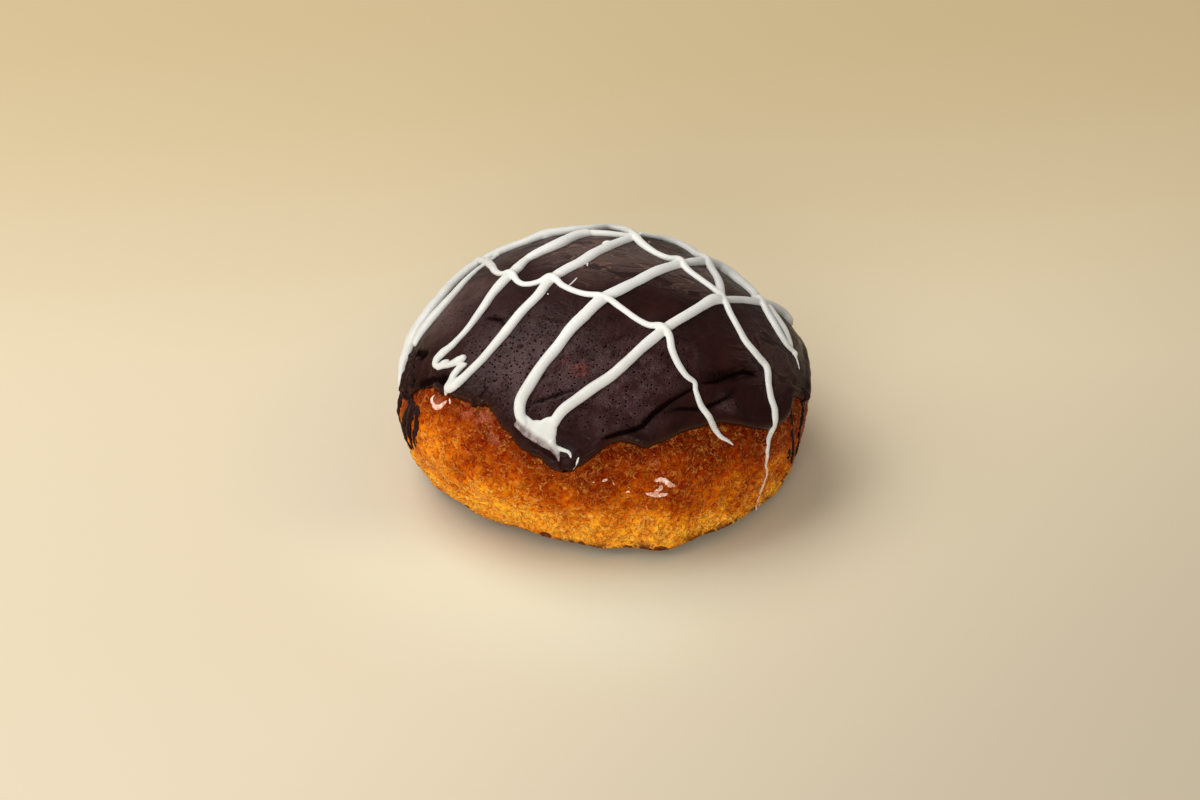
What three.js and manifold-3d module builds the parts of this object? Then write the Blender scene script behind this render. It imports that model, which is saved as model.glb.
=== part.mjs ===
import * as THREE from 'three';
import { mergeVertices } from 'three/addons/utils/BufferGeometryUtils.js';
import Module from 'manifold-3d';

// A filled doughnut: one round baked bun with a flat foot, a shell of chocolate icing that was
// poured over its crown and ran down its side in tongues, and white icing drizzled over the
// chocolate in a thick and a thin zigzag. The filling is shut inside, so the bun is solid.
//
// Millimetres, +Z up. The origin is the middle of the foot, and the best side faces -Y.

// ---------------------------------------------------------------- driving dimensions, in mm
const WIDEST_RADIUS = 46.4;
const WIDEST_HEIGHT = 21;
const BUN_HEIGHT = 49;
const FOOT_RADIUS = 41.6;
const CROWN_LEAN = -0.5;
const ICING_GAP = 0.3;
const ICING_THICKNESS = 1.2;
const ICING_BEAD = 0.4;
const DRIZZLE_STEP = 3.8;

// The side curls in under the widest line through this angle before it meets the foot.
const UNDERCUT = THREE.MathUtils.degToRad(45);

// 1 makes the crown a quarter of an ellipse, and more makes it pointed.
const CROWN_SHARPNESS = 1.06;

// The crown is set in a little, all of it by this percent of the way out to the widest line. The
// icing fills it out again.
const CROWN_SET_IN = 0.9;
const SET_IN_BY = 80;

// The bun isn't quite round. Each wave is [how many lobes, its cosine part, its sine part].
const WIDEST_WAVES = [[2, 0.7, 0.1], [3, 0.9, -1.5]];
const FOOT_WAVES = [
  [1, 1.8, 0.2],
  [2, 2.3, -1.6],
  [3, -0.3, -0.3],
  [4, 1.0, 0.8],
  [11, 0.3, 0.2],
  [17, 0.2, -0.3],
];

// A sharp corner where the foot was pulled off the tray.
const FOOT_CORNER = { azimuth: -72, halfWidth: 11, size: 1.9 };

// ---------------------------------------------------------------- the map of the bun
// A place on the bun is given on a flat map of it, as the Earth is drawn round a pole. The middle
// of the map is the crown. Away from it 100 is the widest line and 200 is the edge of the foot,
// and the direction on the map is the direction on the bun.
const WIDEST_LINE = 100;
const FOOT_EDGE = 200;

// Soft bulges (+) and hollows (-): the middle on the map, the reach on the map, the height in mm.
const LUMPS = [
  { at: [56, 26], reach: 17, height: -1.0 },
  { at: [80, 0], reach: 20, height: 1.3 },
  { at: [44, -40], reach: 9, height: -0.7 },
  { at: [16, -44], reach: 20, height: 0.5 },
  { at: [-60, -100], reach: 24, height: 0.7 },
  { at: [-48, -134], reach: 17, height: -0.8 },
  { at: [30, -122], reach: 30, height: 0.6 },
  { at: [-28, 70], reach: 26, height: 0.8 },
  { at: [40, 96], reach: 30, height: -0.9 },
  { at: [-70, 60], reach: 22, height: -0.7 },
  { at: [-95, -45], reach: 42, height: 0.9 },
  { at: [110, -40], reach: 38, height: 0.8 },
  { at: [-38, 50], reach: 16, height: -0.7 },
];

// How far the icing hangs down: the azimuth in degrees, and the reach on the map there. Between
// these places its edge is straight, and its corners are rounded off over a few degrees.
const ICING_REACH = [
  [-180, 92], [-172, 95], [-166, 92], [-160, 89.5], [-157.5, 86], [-155.5, 78], [-150.5, 73.2],
  [-143.5, 70.6], [-136.5, 68.2], [-128.5, 67.2], [-124, 69.5], [-120, 73.5], [-114.5, 79],
  [-107, 85], [-103, 89.5], [-99.5, 89.8], [-96.5, 87], [-93, 83.6], [-88.5, 77.6], [-83, 75.2],
  [-78.5, 78.2], [-75.5, 80.2], [-69, 77.8], [-62, 75.6], [-55, 75], [-50, 76.2], [-47, 78.8],
  [-44, 81.8], [-40, 86.4], [-37, 89], [-33, 90.2], [-29.5, 91.5], [-26, 90], [-23.5, 87],
  [-20.5, 86.2], [-18.5, 92], [-16, 97], [-10, 92], [0, 88], [10, 93.5], [20, 98], [30, 93],
  [40, 90.5], [50, 100], [60, 103.5], [70, 94], [80, 88.5], [90, 91], [100, 92.5], [110, 86.5],
  [120, 84.5], [130, 94], [140, 96], [150, 80], [160, 75], [168, 80], [174, 88],
];
const CORNER_ROUNDING = 1.2;

// Strands of icing: the points that each runs through on the map, with its width in mm at each.
// First the thin runs of chocolate that got ahead of its edge.
const CHOCOLATE_RUNS = [
  [
    [-88, -18, 2], [-92, -24, 1.8], [-97, -28, 2.2], [-118, -41, 1],
  ],
  [
    [-80, -30, 2], [-80, -36, 2.2], [-94, -41, 2.6], [-110, -55, 1],
  ],
  [
    [-76, -36, 2.4], [-79, -39, 2.8], [-90, -46, 1.6], [-101, -56, 1],
  ],
  [
    [-75, -38, 1.6], [-76, -42, 2], [-86, -54, 1],
  ],
  [
    [-83, -47, 1], [-94, -58, 1],
  ],
  [
    [-86, -4, 2.2], [-92, -9, 2.2], [-102, -14, 1.6], [-118, -18, 1],
  ],
  [
    [80, -34, 1], [84, -40, 1.1], [90, -44, 1], [124, -55, 1.1], [146, -59, 1],
  ],
  [
    [84, -24, 1.4], [102, -39, 1.1], [118, -44, 1], [146, -48, 1], [156, -48, 1],
  ],
  [
    [106, -55, 1], [119, -60, 1],
  ],
];

// The white icing that was drizzled over the chocolate: the thick zigzag with the run that drips
// off its turning point, and the thin one across it.
const THICK_DRIZZLE = [
  [
    [-26, 76, 0.9], [-46, 62, 2.2], [-66, 44, 2.2], [-82, 26, 2.2], [-88, 6, 2],
  ],
  [
    [-94, -21, 0.8], [-92, -12, 1.6], [-88, -4, 2.4], [-51, 34, 3.6], [-46, 36, 3.2],
    [-26, 36, 3], [-19, 38, 3.6], [-12, 38, 3], [-3, 41, 2.8], [3, 49, 2.4], [9, 47, 2.6],
    [12, 37, 2.6],
  ],
  [
    [-75, -7, 1.8], [-61, 3, 2.8], [-38, 34, 1.2],
  ],
  [
    [-45, -30, 1.6], [-48, -31, 2.2], [-56, -30, 1.3], [-59, -28, 1.5], [-58, -26, 2],
    [-51, -23, 1.8], [-43, -16, 1.9], [-29, 10, 3], [-26, 15, 2.1], [-14, 23, 3.3],
    [-7, 31, 3.2], [-3, 33, 2.8],
  ],
  [
    [-4, 33, 2.6], [12, 32, 1.8],
  ],
  [
    [-53, -42, 1.8], [-40, -34, 2.1], [-30, -24, 2.4], [-20, -10.5, 2.4], [-17, -4, 2.6],
    [-5, 8.5, 2.7], [12, 31, 2.3],
  ],
  [
    [-45, -33, 1], [-48, -34, 1.8], [-52, -38.5, 2], [-57.5, -42, 0.8],
  ],
  [
    [-28, -65, 2.2], [-29, -59, 2.6], [-28, -54, 2.8], [-19, -41, 2.7], [0, -17, 2.9],
    [6, -12, 2.9], [41, 27, 3.2], [47, 31, 3.8], [53, 29, 3.8], [57, 22, 3.4], [59, 14, 2.8],
    [57, 7, 2.2],
  ],
  [
    [-18, -66, 2.4], [-14, -61, 2.5], [4, -49, 2.5], [10, -43, 2.5], [38, -6, 3], [48, 0, 2.1],
    [67, 10.5, 3.2], [73, 12.5, 3.6], [78, 11, 2.8],
  ],
  [
    [-20, -72, 2.6], [-17.5, -82.5, 0.8],
  ],
  [
    [-18, -75.5, 1.3], [-13, -78.5, 0.8], [-12, -81.5, 0.8],
  ],
];

const THIN_DRIZZLE = [
  [
    [-70, 62, 0.8], [-44, 31, 2.2], [-37.5, 13, 1.7], [-25, -3, 1.6], [-20, -3.5, 1.6],
    [-16.5, -2, 1.8], [-6, -12, 1.6], [4, -17, 1.7], [13, -24, 1.6], [17, -26, 1.6],
    [21, -26, 1.8], [23.5, -29, 1.9], [28, -41, 1.7], [34, -46, 1.4], [37.5, -54, 1.6],
    [51.5, -64.5, 1.1], [59, -66.5, 0.7],
  ],
  [
    [11, 37, 1.8], [16.5, 24, 2.2], [21, 18, 2], [25, 15, 2], [28, 15, 2.1], [30, 9.5, 1.9],
    [40.5, -3, 1.7], [50.5, -22, 1.8], [60, -28, 2], [66, -40, 1.8], [74.5, -51.5, 1.5],
    [75.5, -57, 1.2], [80.5, -63.5, 1], [107.5, -80, 0.7], [119, -93.5, 0.8], [148, -112, 0.7],
  ],
  [
    [14, 37, 1.6], [25, 43, 2.4], [31, 42, 2.8], [36, 35, 2.8], [41, 20, 2.2], [42, 11, 2.2],
    [40.5, -3, 2],
  ],
  [
    [58, 9, 2], [62.5, -4, 2.1], [66, -9, 2], [75.5, -14, 0.8], [79, -18, 0.7],
  ],
  [
    [62, 6, 1.6], [72, -11, 1.3],
  ],
  [
    [-46, 60, 0.7], [-28, 54, 1.5], [-8, 58, 1.5], [12, 68, 1.5], [46, 80, 1],
  ],
];

// Flat pools of white icing: the middle and the two reaches on the map, the turn in degrees and
// the height in mm.
const POOLS = [
  { at: [-24, -67], reach: [9, 6], turn: -50, height: 0.9 },
  { at: [-52.5, -40.5], reach: [3.4, 2.6], turn: 20, height: 0.9 },
  { at: [-49, 37], reach: [6, 3.2], turn: 35, height: 1.6 },
  { at: [50, 30], reach: [9, 3.4], turn: -15, height: 1.8 },
  { at: [74, 12], reach: [5, 3], turn: -10, height: 1.7 },
];

// ---------------------------------------------------------------- how finely each piece is cut
const BUN_COLUMNS = 72;
const BUN_CROWN_RINGS = 10;
const BUN_SIDE_RINGS = 9;
const ICING_COLUMNS = 72;
const ICING_RINGS = 11;
const STRAND_SIDES = 6;
const POOL_COLUMNS = 10;
const POOL_RINGS = 6;

// ---------------------------------------------------------------- the shape of the bun
const QUARTER_TURN = Math.PI / 2;
const MAP_NUDGE = 0.2;
const LUMP_CENTRE_HEIGHT = WIDEST_HEIGHT / 2;

function sumOfWaves(azimuth, waves) {
  const sizes = waves.map(([lobes, cosine, sine]) => (
    cosine * Math.cos(lobes * azimuth) + sine * Math.sin(lobes * azimuth)));
  return sizes.reduce((sum, size) => sum + size, 0);
}

// A rounded hill: 1 at its middle, 0 from a distance of 1 on.
function hill(distance) {
  return Math.abs(distance) < 1 ? (1 - distance ** 2) ** 2 : 0;
}

function degreesBetween(azimuth, middle) {
  const turn = THREE.MathUtils.radToDeg(azimuth) - middle;
  return turn - 360 * Math.round(turn / 360);
}

function footRadius(azimuth) {
  const corner = hill(degreesBetween(azimuth, FOOT_CORNER.azimuth) / FOOT_CORNER.halfWidth);
  return FOOT_RADIUS + sumOfWaves(azimuth, FOOT_WAVES) + FOOT_CORNER.size * corner;
}

function lumpHeight(x, y) {
  const heights = LUMPS.map(({ at, reach, height }) => (
    height * Math.exp(-(((x - at[0]) ** 2 + (y - at[1]) ** 2) / reach ** 2))));
  return heights.reduce((sum, height) => sum + height, 0);
}

// The point of the bun's skin at a place on the map.
function skin(x, y) {
  const azimuth = Math.atan2(y, x);
  const percent = Math.min(Math.hypot(x, y), FOOT_EDGE);
  const widest = WIDEST_RADIUS + sumOfWaves(azimuth, WIDEST_WAVES);
  let radius;
  let height;
  if (percent <= WIDEST_LINE) {
    const climb = QUARTER_TURN * (1 - percent / WIDEST_LINE);
    const setIn = THREE.MathUtils.smoothstep(WIDEST_LINE - percent, 0, WIDEST_LINE - SET_IN_BY);
    radius = widest * Math.cos(climb) ** CROWN_SHARPNESS - CROWN_SET_IN * setIn * Math.cos(climb);
    height = WIDEST_HEIGHT + (BUN_HEIGHT - WIDEST_HEIGHT) * Math.sin(climb);
  } else {
    // the side is the start of a rounding that the foot cuts off
    const curl = UNDERCUT * (percent / WIDEST_LINE - 1);
    const inward = (1 - Math.cos(curl)) / (1 - Math.cos(UNDERCUT));
    radius = widest + (footRadius(azimuth) - widest) * inward;
    height = WIDEST_HEIGHT * (1 - Math.sin(curl) / Math.sin(UNDERCUT));
  }
  // lumps push the skin straight out from a point inside the bun, and fade out at the foot
  const lump = lumpHeight(x, y) * Math.min(1, height / LUMP_CENTRE_HEIGHT);
  const steepness = Math.atan2(height - LUMP_CENTRE_HEIGHT, radius);
  radius += lump * Math.cos(steepness);
  height += lump * Math.sin(steepness);
  const lean = CROWN_LEAN * (height / BUN_HEIGHT);
  return new THREE.Vector3(radius * Math.cos(azimuth) + lean, radius * Math.sin(azimuth), height);
}

function skinNormal(x, y) {
  const alongX = skin(x + MAP_NUDGE, y).sub(skin(x - MAP_NUDGE, y));
  const alongY = skin(x, y + MAP_NUDGE).sub(skin(x, y - MAP_NUDGE));
  return alongX.cross(alongY).normalize();
}

// The point at a height above the skin, square to it.
function above(x, y, height) {
  return skin(x, y).addScaledVector(skinNormal(x, y), height);
}

// ---------------------------------------------------------------- the shape of the icing
// The reach between two places of the table, going round from its last place to its first.
function reachAt(degrees) {
  const turn = ((degrees + 540) % 360) - 180;
  const next = ICING_REACH.findIndex(([azimuth]) => azimuth > turn);
  const [fromAzimuth, fromReach] = ICING_REACH.at(next === -1 ? -1 : next - 1);
  const [toAzimuth, toReach] = next === -1 ? [180, ICING_REACH[0][1]] : ICING_REACH[next];
  return THREE.MathUtils.mapLinear(turn, fromAzimuth, toAzimuth, fromReach, toReach);
}

function icingEdge(azimuth) {
  const degrees = THREE.MathUtils.radToDeg(azimuth);
  const reaches = [-CORNER_ROUNDING, 0, CORNER_ROUNDING].map((turn) => reachAt(degrees + turn));
  return reaches.reduce((sum, reach) => sum + reach, 0) / reaches.length;
}

// The height of the icing's outer face above the skin. The icing rolls over to nothing at its
// edge, behind which a low bead has gathered. Both reaches are on the map.
const ROUND_OFF = 3;
const BEAD_REACH = 4;

function icingTop(x, y) {
  const inside = icingEdge(Math.atan2(y, x)) - Math.hypot(x, y);
  if (inside <= 0) return 0;
  const roll = Math.min(1, inside / ROUND_OFF);
  const bead = ICING_BEAD * hill((inside - BEAD_REACH) / BEAD_REACH);
  return ICING_GAP + (ICING_THICKNESS + bead) * Math.sqrt(1 - (1 - roll) ** 2);
}

// ---------------------------------------------------------------- closed meshes
// Joins the corners that coincide and drops the triangles that this closes up, as at a pole.
function sealed(geometry) {
  geometry.deleteAttribute('normal');
  geometry.deleteAttribute('uv');
  const merged = mergeVertices(geometry);
  const corners = merged.index.array;
  const kept = [];
  for (let i = 0; i < corners.length; i += 3) {
    const [a, b, c] = [corners[i], corners[i + 1], corners[i + 2]];
    if (a !== b && b !== c && c !== a) kept.push(a, b, c);
  }
  merged.setIndex(kept);
  return merged;
}

// Moves every corner of a simple closed shape to where the rule puts it.
function shaped(geometry, rule) {
  const positions = geometry.attributes.position;
  for (let i = 0; i < positions.count; i += 1) {
    const place = rule(new THREE.Vector3().fromBufferAttribute(positions, i));
    positions.setXYZ(i, place.x, place.y, place.z);
  }
  return sealed(geometry);
}

// ---------------------------------------------------------------- the bun
// A turned disc, whose upper face is the map of the bun and whose lower face is the foot.
const UPPER_FACE = 1;
const LOWER_FACE = -1;

function bunGeometry() {
  const profile = [];
  for (let ring = 0; ring <= BUN_CROWN_RINGS; ring += 1) {
    profile.push(new THREE.Vector2(WIDEST_LINE * (ring / BUN_CROWN_RINGS), UPPER_FACE));
  }
  for (let ring = 1; ring <= BUN_SIDE_RINGS; ring += 1) {
    profile.push(new THREE.Vector2(WIDEST_LINE * (1 + ring / BUN_SIDE_RINGS), UPPER_FACE));
  }
  profile.push(new THREE.Vector2(FOOT_EDGE / 2, LOWER_FACE));
  profile.push(new THREE.Vector2(0, LOWER_FACE));
  const disc = new THREE.LatheGeometry(profile.reverse(), BUN_COLUMNS);
  return shaped(disc, ({ x, y: face, z }) => {
    if (face === UPPER_FACE) return skin(z, x);
    const share = Math.hypot(x, z) / FOOT_EDGE;
    const azimuth = Math.atan2(x, z);
    return skin(FOOT_EDGE * Math.cos(azimuth), FOOT_EDGE * Math.sin(azimuth)).multiplyScalar(share);
  });
}

// ---------------------------------------------------------------- the chocolate shell
// Another turned disc, of radius 1: its rim is the icing's edge, its upper face the outside and
// its lower face the inside, just clear of the bun. The rings crowd together towards the rim.
function shellGeometry() {
  const spacing = (ring) => Math.sin(QUARTER_TURN * (ring / ICING_RINGS));
  const profile = [];
  for (let ring = 0; ring < ICING_RINGS; ring += 1) {
    profile.push(new THREE.Vector2(spacing(ring), LOWER_FACE));
  }
  for (let ring = ICING_RINGS; ring >= 0; ring -= 1) {
    profile.push(new THREE.Vector2(spacing(ring), UPPER_FACE));
  }
  const disc = new THREE.LatheGeometry(profile, ICING_COLUMNS);
  return shaped(disc, ({ x, y: face, z }) => {
    const reach = icingEdge(Math.atan2(x, z));
    const top = face === UPPER_FACE ? icingTop(z * reach, x * reach) : 0;
    return above(z * reach, x * reach, Math.max(ICING_GAP, top));
  });
}

// ---------------------------------------------------------------- the white icing
// A strand's height, as a share of its width. Its underside is flatter than its top.
const WHITE_PLUMPNESS = 0.45;
const CHOCOLATE_PLUMPNESS = 0.2;
const UNDERSIDE = 0.65;
const MM_PER_MAP_UNIT = 0.56;

// How high a strand or pool lies: on the chocolate, or past its edge just clear of the bun.
function bedHeight(x, y, height) {
  return Math.max(icingTop(x, y), ICING_GAP + UNDERSIDE * height) + ICING_GAP / 4;
}

function flattened(heightShare) {
  return heightShare < 0 ? heightShare * UNDERSIDE : heightShare;
}

// The width at a place on the curve, from the widths at the points of its route on either side.
function widthAt(route, placeOnCurve) {
  const place = placeOnCurve * (route.length - 1);
  const before = Math.min(Math.floor(place), route.length - 2);
  return THREE.MathUtils.lerp(route[before][2], route[before + 1][2], place - before);
}

// A cylinder of radius 1 and length 1 that is bent along its route and pressed to its width.
function strandGeometry(route, plumpness) {
  const points = route.map(([x, y]) => new THREE.Vector3(x, y, 0));
  const line = new THREE.CatmullRomCurve3(points, false, 'centripetal');
  const length = line.getLength() * MM_PER_MAP_UNIT;
  const steps = Math.ceil(length / DRIZZLE_STEP);
  const cylinder = new THREE.CylinderGeometry(1, 1, 1, STRAND_SIDES, steps);
  return shaped(cylinder, (corner) => {
    const share = THREE.MathUtils.clamp(corner.y + 1 / 2, 0, 1);
    const width = widthAt(route, line.getUtoTmapping(share));
    const height = width * plumpness;
    const place = line.getPointAt(share);
    const heading = line.getTangentAt(share).multiplyScalar(MAP_NUDGE);
    const ahead = skin(place.x + heading.x, place.y + heading.y);
    const behind = skin(place.x - heading.x, place.y - heading.y);
    const up = skinNormal(place.x, place.y);
    const side = ahead.sub(behind).cross(up).normalize();
    return above(place.x, place.y, bedHeight(place.x, place.y, height))
      .addScaledVector(side, corner.x * (width / 2))
      .addScaledVector(up, flattened(corner.z) * height);
  });
}

// A ball that is pressed flat on the icing.
function poolGeometry({ at, reach, turn, height }) {
  const ball = new THREE.SphereGeometry(1, POOL_COLUMNS, POOL_RINGS);
  ball.rotateX(QUARTER_TURN);
  return shaped(ball, (corner) => {
    const spot = new THREE.Vector2(corner.x * reach[0], corner.y * reach[1]);
    spot.rotateAround(new THREE.Vector2(0, 0), THREE.MathUtils.degToRad(turn));
    const x = at[0] + spot.x;
    const y = at[1] + spot.y;
    return above(x, y, bedHeight(at[0], at[1], height) + flattened(corner.z) * height);
  });
}

// ---------------------------------------------------------------- joining solids
const wasm = await Module();
wasm.setup();

function toSolid(geometry) {
  return new wasm.Manifold(new wasm.Mesh({
    numProp: 3,
    vertProperties: new Float32Array(geometry.attributes.position.array),
    triVerts: new Uint32Array(geometry.index.array),
  }));
}

function toGeometry(solid) {
  const mesh = solid.getMesh();
  const geometry = new THREE.BufferGeometry();
  geometry.setAttribute('position', new THREE.BufferAttribute(mesh.vertProperties, 3));
  geometry.setIndex(new THREE.BufferAttribute(mesh.triVerts, 1));
  geometry.computeVertexNormals();
  return geometry;
}

// The chocolate with the white icing fused on. Only the largest body is kept, which leaves out
// any small space that crossing strands have closed off.
function icingGeometry() {
  const runs = CHOCOLATE_RUNS.map((route) => strandGeometry(route, CHOCOLATE_PLUMPNESS));
  const drizzle = [...THICK_DRIZZLE, ...THIN_DRIZZLE].map((route) => (
    strandGeometry(route, WHITE_PLUMPNESS)));
  const additions = [...runs, ...drizzle, ...POOLS.map(poolGeometry)].map(toSolid);
  const fused = additions.reduce((whole, addition) => whole.add(addition), toSolid(shellGeometry()));
  const bodies = fused.decompose().sort((a, b) => b.volume() - a.volume());
  return toGeometry(bodies[0]);
}

// ---------------------------------------------------------------- the doughnut
const CRUST = new THREE.MeshStandardMaterial({ color: 0xb0600e, roughness: 0.55, metalness: 0 });
const CHOCOLATE = new THREE.MeshStandardMaterial({ color: 0x38201f, roughness: 0.4, metalness: 0 });

function node(name, geometry, material) {
  const mesh = new THREE.Mesh(geometry, material);
  mesh.name = name;
  return mesh;
}

const doughnut = new THREE.Group();
doughnut.add(node('dough', bunGeometry(), CRUST));
doughnut.add(node('icing', icingGeometry(), CHOCOLATE));

export default doughnut;
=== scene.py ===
# %% [markdown]
# # A filled doughnut with chocolate icing and a white drizzle
#
# The real thing is a ball of yeast dough that was fried until its crust went golden brown. Its crown
# was dipped in melted chocolate icing, which ran down the side in tongues, and white icing was then
# drizzled over it in two zigzags. It is made here in the same order: the bun, the chocolate, the
# drizzle, and last the flecks of glaze that stick to the crust.

import math

import bmesh
import bpy
import numpy as np
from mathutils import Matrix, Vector, noise


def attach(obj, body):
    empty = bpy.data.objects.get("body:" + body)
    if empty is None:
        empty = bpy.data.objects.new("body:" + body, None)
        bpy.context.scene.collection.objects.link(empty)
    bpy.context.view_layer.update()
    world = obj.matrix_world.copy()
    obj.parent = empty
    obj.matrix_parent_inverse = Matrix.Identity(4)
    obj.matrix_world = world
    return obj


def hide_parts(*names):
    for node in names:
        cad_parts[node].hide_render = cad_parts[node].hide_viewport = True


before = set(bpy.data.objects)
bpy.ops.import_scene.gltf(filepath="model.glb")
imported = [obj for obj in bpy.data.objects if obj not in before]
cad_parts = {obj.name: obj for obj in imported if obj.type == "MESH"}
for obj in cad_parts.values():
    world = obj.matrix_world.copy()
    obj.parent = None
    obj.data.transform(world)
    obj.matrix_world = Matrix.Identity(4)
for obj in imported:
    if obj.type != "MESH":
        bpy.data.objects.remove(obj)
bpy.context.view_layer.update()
MM = 0.001


# %% [markdown]
# ## A map of the bun
#
# A bun has no straight edges to measure from, so every place on it is given on a flat map, as the
# Earth is drawn round a pole. The middle of the map is the crown, 100 away from it is the widest
# line, and 200 away is the edge of the foot. The direction on the map is the direction on the bun.
# One function turns the map into a shape, so the dough, the icing and the drizzle can't drift apart.

# %% The size of the bun, in millimetres
WIDEST_RADIUS = 46.4
WIDEST_HEIGHT = 21.0
BUN_HEIGHT = 49.0
FOOT_RADIUS = 41.6
CROWN_LEAN = -0.5
CROWN_SHARPNESS = 1.06
CROWN_SET_IN = 0.9
SET_IN_BY = 80
UNDERCUT = math.radians(45)
QUARTER_TURN = math.pi / 2
WIDEST_LINE = 100
FOOT_EDGE = 200

# Each wave is (how many lobes, its cosine part, its sine part).
WIDEST_WAVES = [(2, 0.7, 0.1), (3, 0.9, -1.5)]
FOOT_WAVES = [
    (1, 1.8, 0.2), (2, 2.3, -1.6), (3, -0.3, -0.3), (4, 1.0, 0.8), (11, 0.3, 0.2), (17, 0.2, -0.3),
]
FOOT_CORNER_AT, FOOT_CORNER_HALF_WIDTH, FOOT_CORNER_SIZE = -72, 11, 1.9

# Soft bulges (+) and hollows (-): the middle on the map, the reach on the map, the height.
LUMPS = [
    ((56, 26), 17, -1.0),
    ((80, 0), 20, 1.3),
    ((44, -40), 9, -0.7),
    ((16, -44), 20, 0.5),
    ((-60, -100), 24, 0.7),
    ((-48, -134), 17, -0.8),
    ((30, -122), 30, 0.6),
    ((-28, 70), 26, 0.8),
    ((40, 96), 30, -0.9),
    ((-70, 60), 22, -0.7),
    ((-95, -45), 42, 0.9),
    ((110, -40), 38, 0.8),
    ((-38, 50), 16, -0.7),
]
LUMP_CENTRE_HEIGHT = WIDEST_HEIGHT / 2


# %% The shape of the bun's skin
def hill(distance):
    """A rounded hill: 1 in its middle, 0 from a distance of 1 on."""
    return np.where(np.abs(distance) < 1, (1 - np.square(distance)) ** 2, 0.0)


def ease(value, low, high):
    """0 up to low, 1 from high on, and an easy slope between them."""
    share = np.clip((value - low) / (high - low), 0, 1)
    return share * share * (3 - 2 * share)


def degrees_between(azimuth, middle):
    turn = np.degrees(azimuth) - middle
    return turn - 360 * np.round(turn / 360)


def sum_of_waves(azimuth, waves):
    return sum(c * np.cos(lobes * azimuth) + s * np.sin(lobes * azimuth) for lobes, c, s in waves)


def foot_radius(azimuth):
    corner = hill(degrees_between(azimuth, FOOT_CORNER_AT) / FOOT_CORNER_HALF_WIDTH)
    return FOOT_RADIUS + sum_of_waves(azimuth, FOOT_WAVES) + FOOT_CORNER_SIZE * corner


def lump_height(x, y):
    return sum(h * np.exp(-((x - at[0]) ** 2 + (y - at[1]) ** 2) / reach**2) for at, reach, h in LUMPS)


def skin(x, y):
    """The points of the bun's skin at places on the map, in millimetres."""
    azimuth = np.arctan2(y, x)
    percent = np.minimum(np.hypot(x, y), FOOT_EDGE)
    widest = WIDEST_RADIUS + sum_of_waves(azimuth, WIDEST_WAVES)
    climb = QUARTER_TURN * (1 - np.minimum(percent / WIDEST_LINE, 1))
    set_in = CROWN_SET_IN * ease(WIDEST_LINE - percent, 0, WIDEST_LINE - SET_IN_BY)
    crown_radius = widest * np.cos(climb) ** CROWN_SHARPNESS - set_in * np.cos(climb)
    crown_height = WIDEST_HEIGHT + (BUN_HEIGHT - WIDEST_HEIGHT) * np.sin(climb)
    curl = UNDERCUT * np.maximum(percent / WIDEST_LINE - 1, 0)
    inward = (1 - np.cos(curl)) / (1 - math.cos(UNDERCUT))
    side_radius = widest + (foot_radius(azimuth) - widest) * inward
    side_height = WIDEST_HEIGHT * (1 - np.sin(curl) / math.sin(UNDERCUT))
    radius = np.where(percent <= WIDEST_LINE, crown_radius, side_radius)
    height = np.where(percent <= WIDEST_LINE, crown_height, side_height)
    lump = lump_height(x, y) * np.minimum(1, height / LUMP_CENTRE_HEIGHT)
    steepness = np.arctan2(height - LUMP_CENTRE_HEIGHT, radius)
    radius = radius + lump * np.cos(steepness)
    height = height + lump * np.sin(steepness)
    lean = CROWN_LEAN * height / BUN_HEIGHT
    return np.stack([radius * np.cos(azimuth) + lean, radius * np.sin(azimuth), height], axis=-1)


MAP_NUDGE = 0.2
MM_PER_MAP_UNIT = 0.56


def unit(vectors):
    return vectors / np.linalg.norm(vectors, axis=-1, keepdims=True)


def skin_normal(x, y):
    along_x = skin(x + MAP_NUDGE, y) - skin(x - MAP_NUDGE, y)
    along_y = skin(x, y + MAP_NUDGE) - skin(x, y - MAP_NUDGE)
    return unit(np.cross(along_x, along_y))


def above(x, y, height):
    """The points at a height above the skin, square to it."""
    return skin(x, y) + skin_normal(x, y) * np.asarray(height)[..., None]


print("the crown is at", np.round(skin(np.array(0.0), np.array(0.0)), 1))

# %% [markdown]
# ## The edge of the icing
#
# The bun was tilted as it was dipped, so the icing reaches lower at the back right than at the front
# left, and from that slanting line it ran down in tongues of different length. Both the crust, which
# has painted shade just below the icing, and the icing itself need this line, so it is settled here.

# %% Where the icing ends
# The azimuth in degrees, and how far out on the map the icing hangs there.
ICING_REACH = [
    (-180, 92), (-172, 95), (-166, 92), (-160, 89.5), (-157.5, 86), (-155.5, 78), (-150.5, 73.2),
    (-143.5, 70.6), (-136.5, 68.2), (-128.5, 67.2), (-124, 69.5), (-120, 73.5), (-114.5, 79),
    (-107, 85), (-103, 89.5), (-99.5, 89.8), (-96.5, 87), (-93, 83.6), (-88.5, 77.6), (-83, 75.2),
    (-78.5, 78.2), (-75.5, 80.2), (-69, 77.8), (-62, 75.6), (-55, 75), (-50, 76.2), (-47, 78.8),
    (-44, 81.8), (-40, 86.4), (-37, 89), (-33, 90.2), (-29.5, 91.5), (-26, 90), (-23.5, 87),
    (-20.5, 86.2), (-18.5, 92), (-16, 97), (-10, 92), (0, 88), (10, 93.5), (20, 98), (30, 93),
    (40, 90.5), (50, 100), (60, 103.5), (70, 94), (80, 88.5), (90, 91), (100, 92.5), (110, 86.5),
    (120, 84.5), (130, 94), (140, 96), (150, 80), (160, 75), (168, 80), (174, 88),
]
REACH_AZIMUTHS = [azimuth for azimuth, _ in ICING_REACH]
REACH_VALUES = [reach for _, reach in ICING_REACH]
CORNER_ROUNDING = 1.2


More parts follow.
